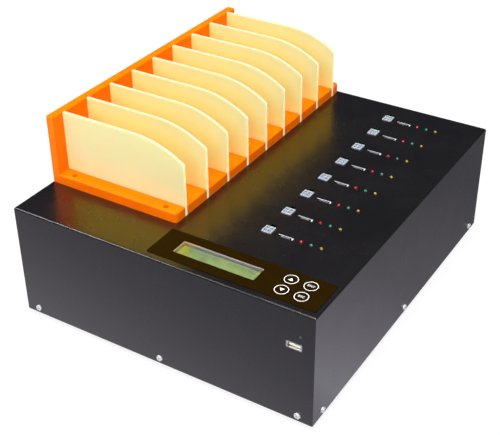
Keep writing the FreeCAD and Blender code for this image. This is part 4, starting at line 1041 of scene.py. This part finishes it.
# %% [markdown]
# ## Marks on the power switch
# The rocker is marked with a bar for on and a ring for off. Its face is a shallow V that is tipped at
# rest, so each mark has to lie on a slope. A ray sent at the face gives the point and the slope there.

# %% Switch marks
BAR_WIDE, BAR_TALL, MARK_OUTER, MARK_INNER = 0.7 * MM, 4.2 * MM, 2.0 * MM, 1.35 * MM
FROM_MIDDLE = 4.8 * MM
rocker_low, rocker_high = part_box("power_rocker")
rocker_x = (rocker_low.x + rocker_high.x) / 2
rocker_z = (rocker_low.z + rocker_high.z) / 2


def lay_on_rocker(piece, height):
    """Lay a mark, drawn flat at the origin, on the rocker's face at a height."""
    start = Vector((rocker_x, rocker_high.y + 50 * MM, height))
    hit, point, normal, _ = nodes["power_rocker"].ray_cast(start, Vector((0, -1, 0)))
    turn = normal.to_track_quat("Z", "Y").to_matrix().to_4x4()
    piece.data.transform(Matrix.Translation(point + normal * 0.01 * MM) @ turn)
    finish_piece(piece, print_white, "rocker")
    print(piece.name, "on the face:", hit)


clear_choice()
bpy.ops.mesh.primitive_plane_add(size=1.0)
bpy.context.object.scale = (BAR_WIDE, BAR_TALL, 1.0)
bar = name_it("switch_mark_on")
open_edit(bar, "VERT")
round_corners()
thicken(bar)
ring = printed_ring("switch_mark_off", 0, 0, 0, MARK_OUTER, MARK_INNER, 32)
lay_on_rocker(bar, rocker_z + FROM_MIDDLE)
lay_on_rocker(ring, rocker_z - FROM_MIDDLE)

# %% [markdown]
# ## Studio
# The set is plain: a white floor, a pale world that darkens overhead, and soft lamps. The floor looks
# white to the eye and through the clear film, so most of it glows for those rays, and the rest is
# ordinary paint that still takes the object's shadow. A mirror sees it fall off with distance, as a lit
# patch does in a real studio: that grades the black sides, and the dark floor far in front gives the dark
# line under the fold.

# %% Studio floor
clear_choice()
bpy.ops.mesh.primitive_plane_add(size=24.0, location=(0, 0, 0))
floor = name_it("studio_floor")
FAR, NEAR, SLANT, GLOWING_SHARE = -1.0, 0.4, -0.15, 0.85
FLOOR_TONES = ((-0.9, 0.0), (-0.46, 0.02), (-0.41, 0.28), (-0.3, 0.36), (-0.24, 0.48), (-0.184, 0.68),
               (-0.152, 0.84), (-0.088, 0.6), (0.016, 0.36), (0.176, 0.235), (0.24, 0.2))


def seen_plainly(tree):
    """A mask of the rays that come from the eye or through something clear."""
    path = put(tree, "LightPath").outputs
    return calc(tree, "MAXIMUM", path["Is Camera Ray"], path["Is Transmission Ray"])


floor_paint, tree, shader = new_finish("studio_floor_paint", (0.86, 0.86, 0.86), 0.9,
                                       Specular_IOR_Level=0.0)
mirror = put(tree, "LightPath").outputs["Is Glossy Ray"]
place = axes(tree)
slant = calc(tree, "MULTIPLY_ADD", place["X"], SLANT, place["Y"])
tones = put(tree, "ValToRGB")
stops = tones.color_ramp.elements
for distance, level in FLOOR_TONES:
    stop = stops.new((distance - FAR) / (NEAR - FAR))
    stop.color = (level, 0.96 * level, 1.09 * level, 1)
stops.remove(stops[-1])
stops.remove(stops[0])
join(tree, remap(tree, slant, FAR, NEAR), tones.inputs["Fac"])
glow = put(tree, "Emission")
color_by(tree, mirror, (1.0, 1.0, 1.0), tones.outputs["Color"], glow, "Color")
share = calc(tree, "MULTIPLY_ADD", seen_plainly(tree), GLOWING_SHARE, mirror)
blend_shaders(tree, share, shader, glow)
floor.data.materials.append(floor_paint)
print("floor ready")

# %% Studio world
OVERHEAD = (0.06, 0.058, 0.074)
world = bpy.data.worlds.new("studio_world")
bpy.context.scene.world = world
world.use_nodes = True
tree = world.node_tree
sky = tree.nodes["Background"]
ramp = put(tree, "ValToRGB")
horizon, overhead = ramp.color_ramp.elements
horizon.color = (1, 1, 1, 1)
overhead.position = 0.03
overhead.color = (*OVERHEAD, 1)
join(tree, axes(tree, output="Generated")["Z"], ramp.inputs["Fac"])
color_by(tree, seen_plainly(tree), ramp.outputs["Color"], (1.0, 1.0, 1.0), sky, "Color")
sky.inputs["Strength"].default_value = 1.0
print("world ready")

# %% [markdown]
# Four area lamps light the set. The key lamp stands in front and the side lamp on the right. The top lamp
# hangs over the case, and the narrow fold lamp on the left draws the bright line along the front fold.

# %% Lamps of the studio
AIM = Vector((0, 0, 0.08))


def soft_lamp(name, place, size, power):
    data = bpy.data.lights.new(name, "AREA")
    data.shape = "RECTANGLE"
    data.size, data.size_y = size
    data.energy = power
    lamp = bpy.data.objects.new(name, data)
    bpy.context.scene.collection.objects.link(lamp)
    lamp.location = place
    lamp.rotation_mode = "QUATERNION"
    lamp.rotation_quaternion = (AIM - Vector(place)).to_track_quat("-Z", "Y")
    print(name, power, "W")


soft_lamp("key_lamp", (0.3, -2.3, 1.6), (1.6, 1.6), 46)
soft_lamp("fold_lamp", (-1.45, -0.9, 1.78), (1.2, 0.35), 18)
soft_lamp("side_lamp", (2.4, -0.6, 1.2), (1.4, 1.4), 22)
soft_lamp("top_lamp", (0.2, -0.1, 2.6), (1.6, 1.6), 83)

# %% [markdown]
# ## Solids without a finish
# Any loaded solid that has not been given a finish is listed.

# %% Solids without a finish
print("solids without a finish:", sorted(set(nodes) - dressed))
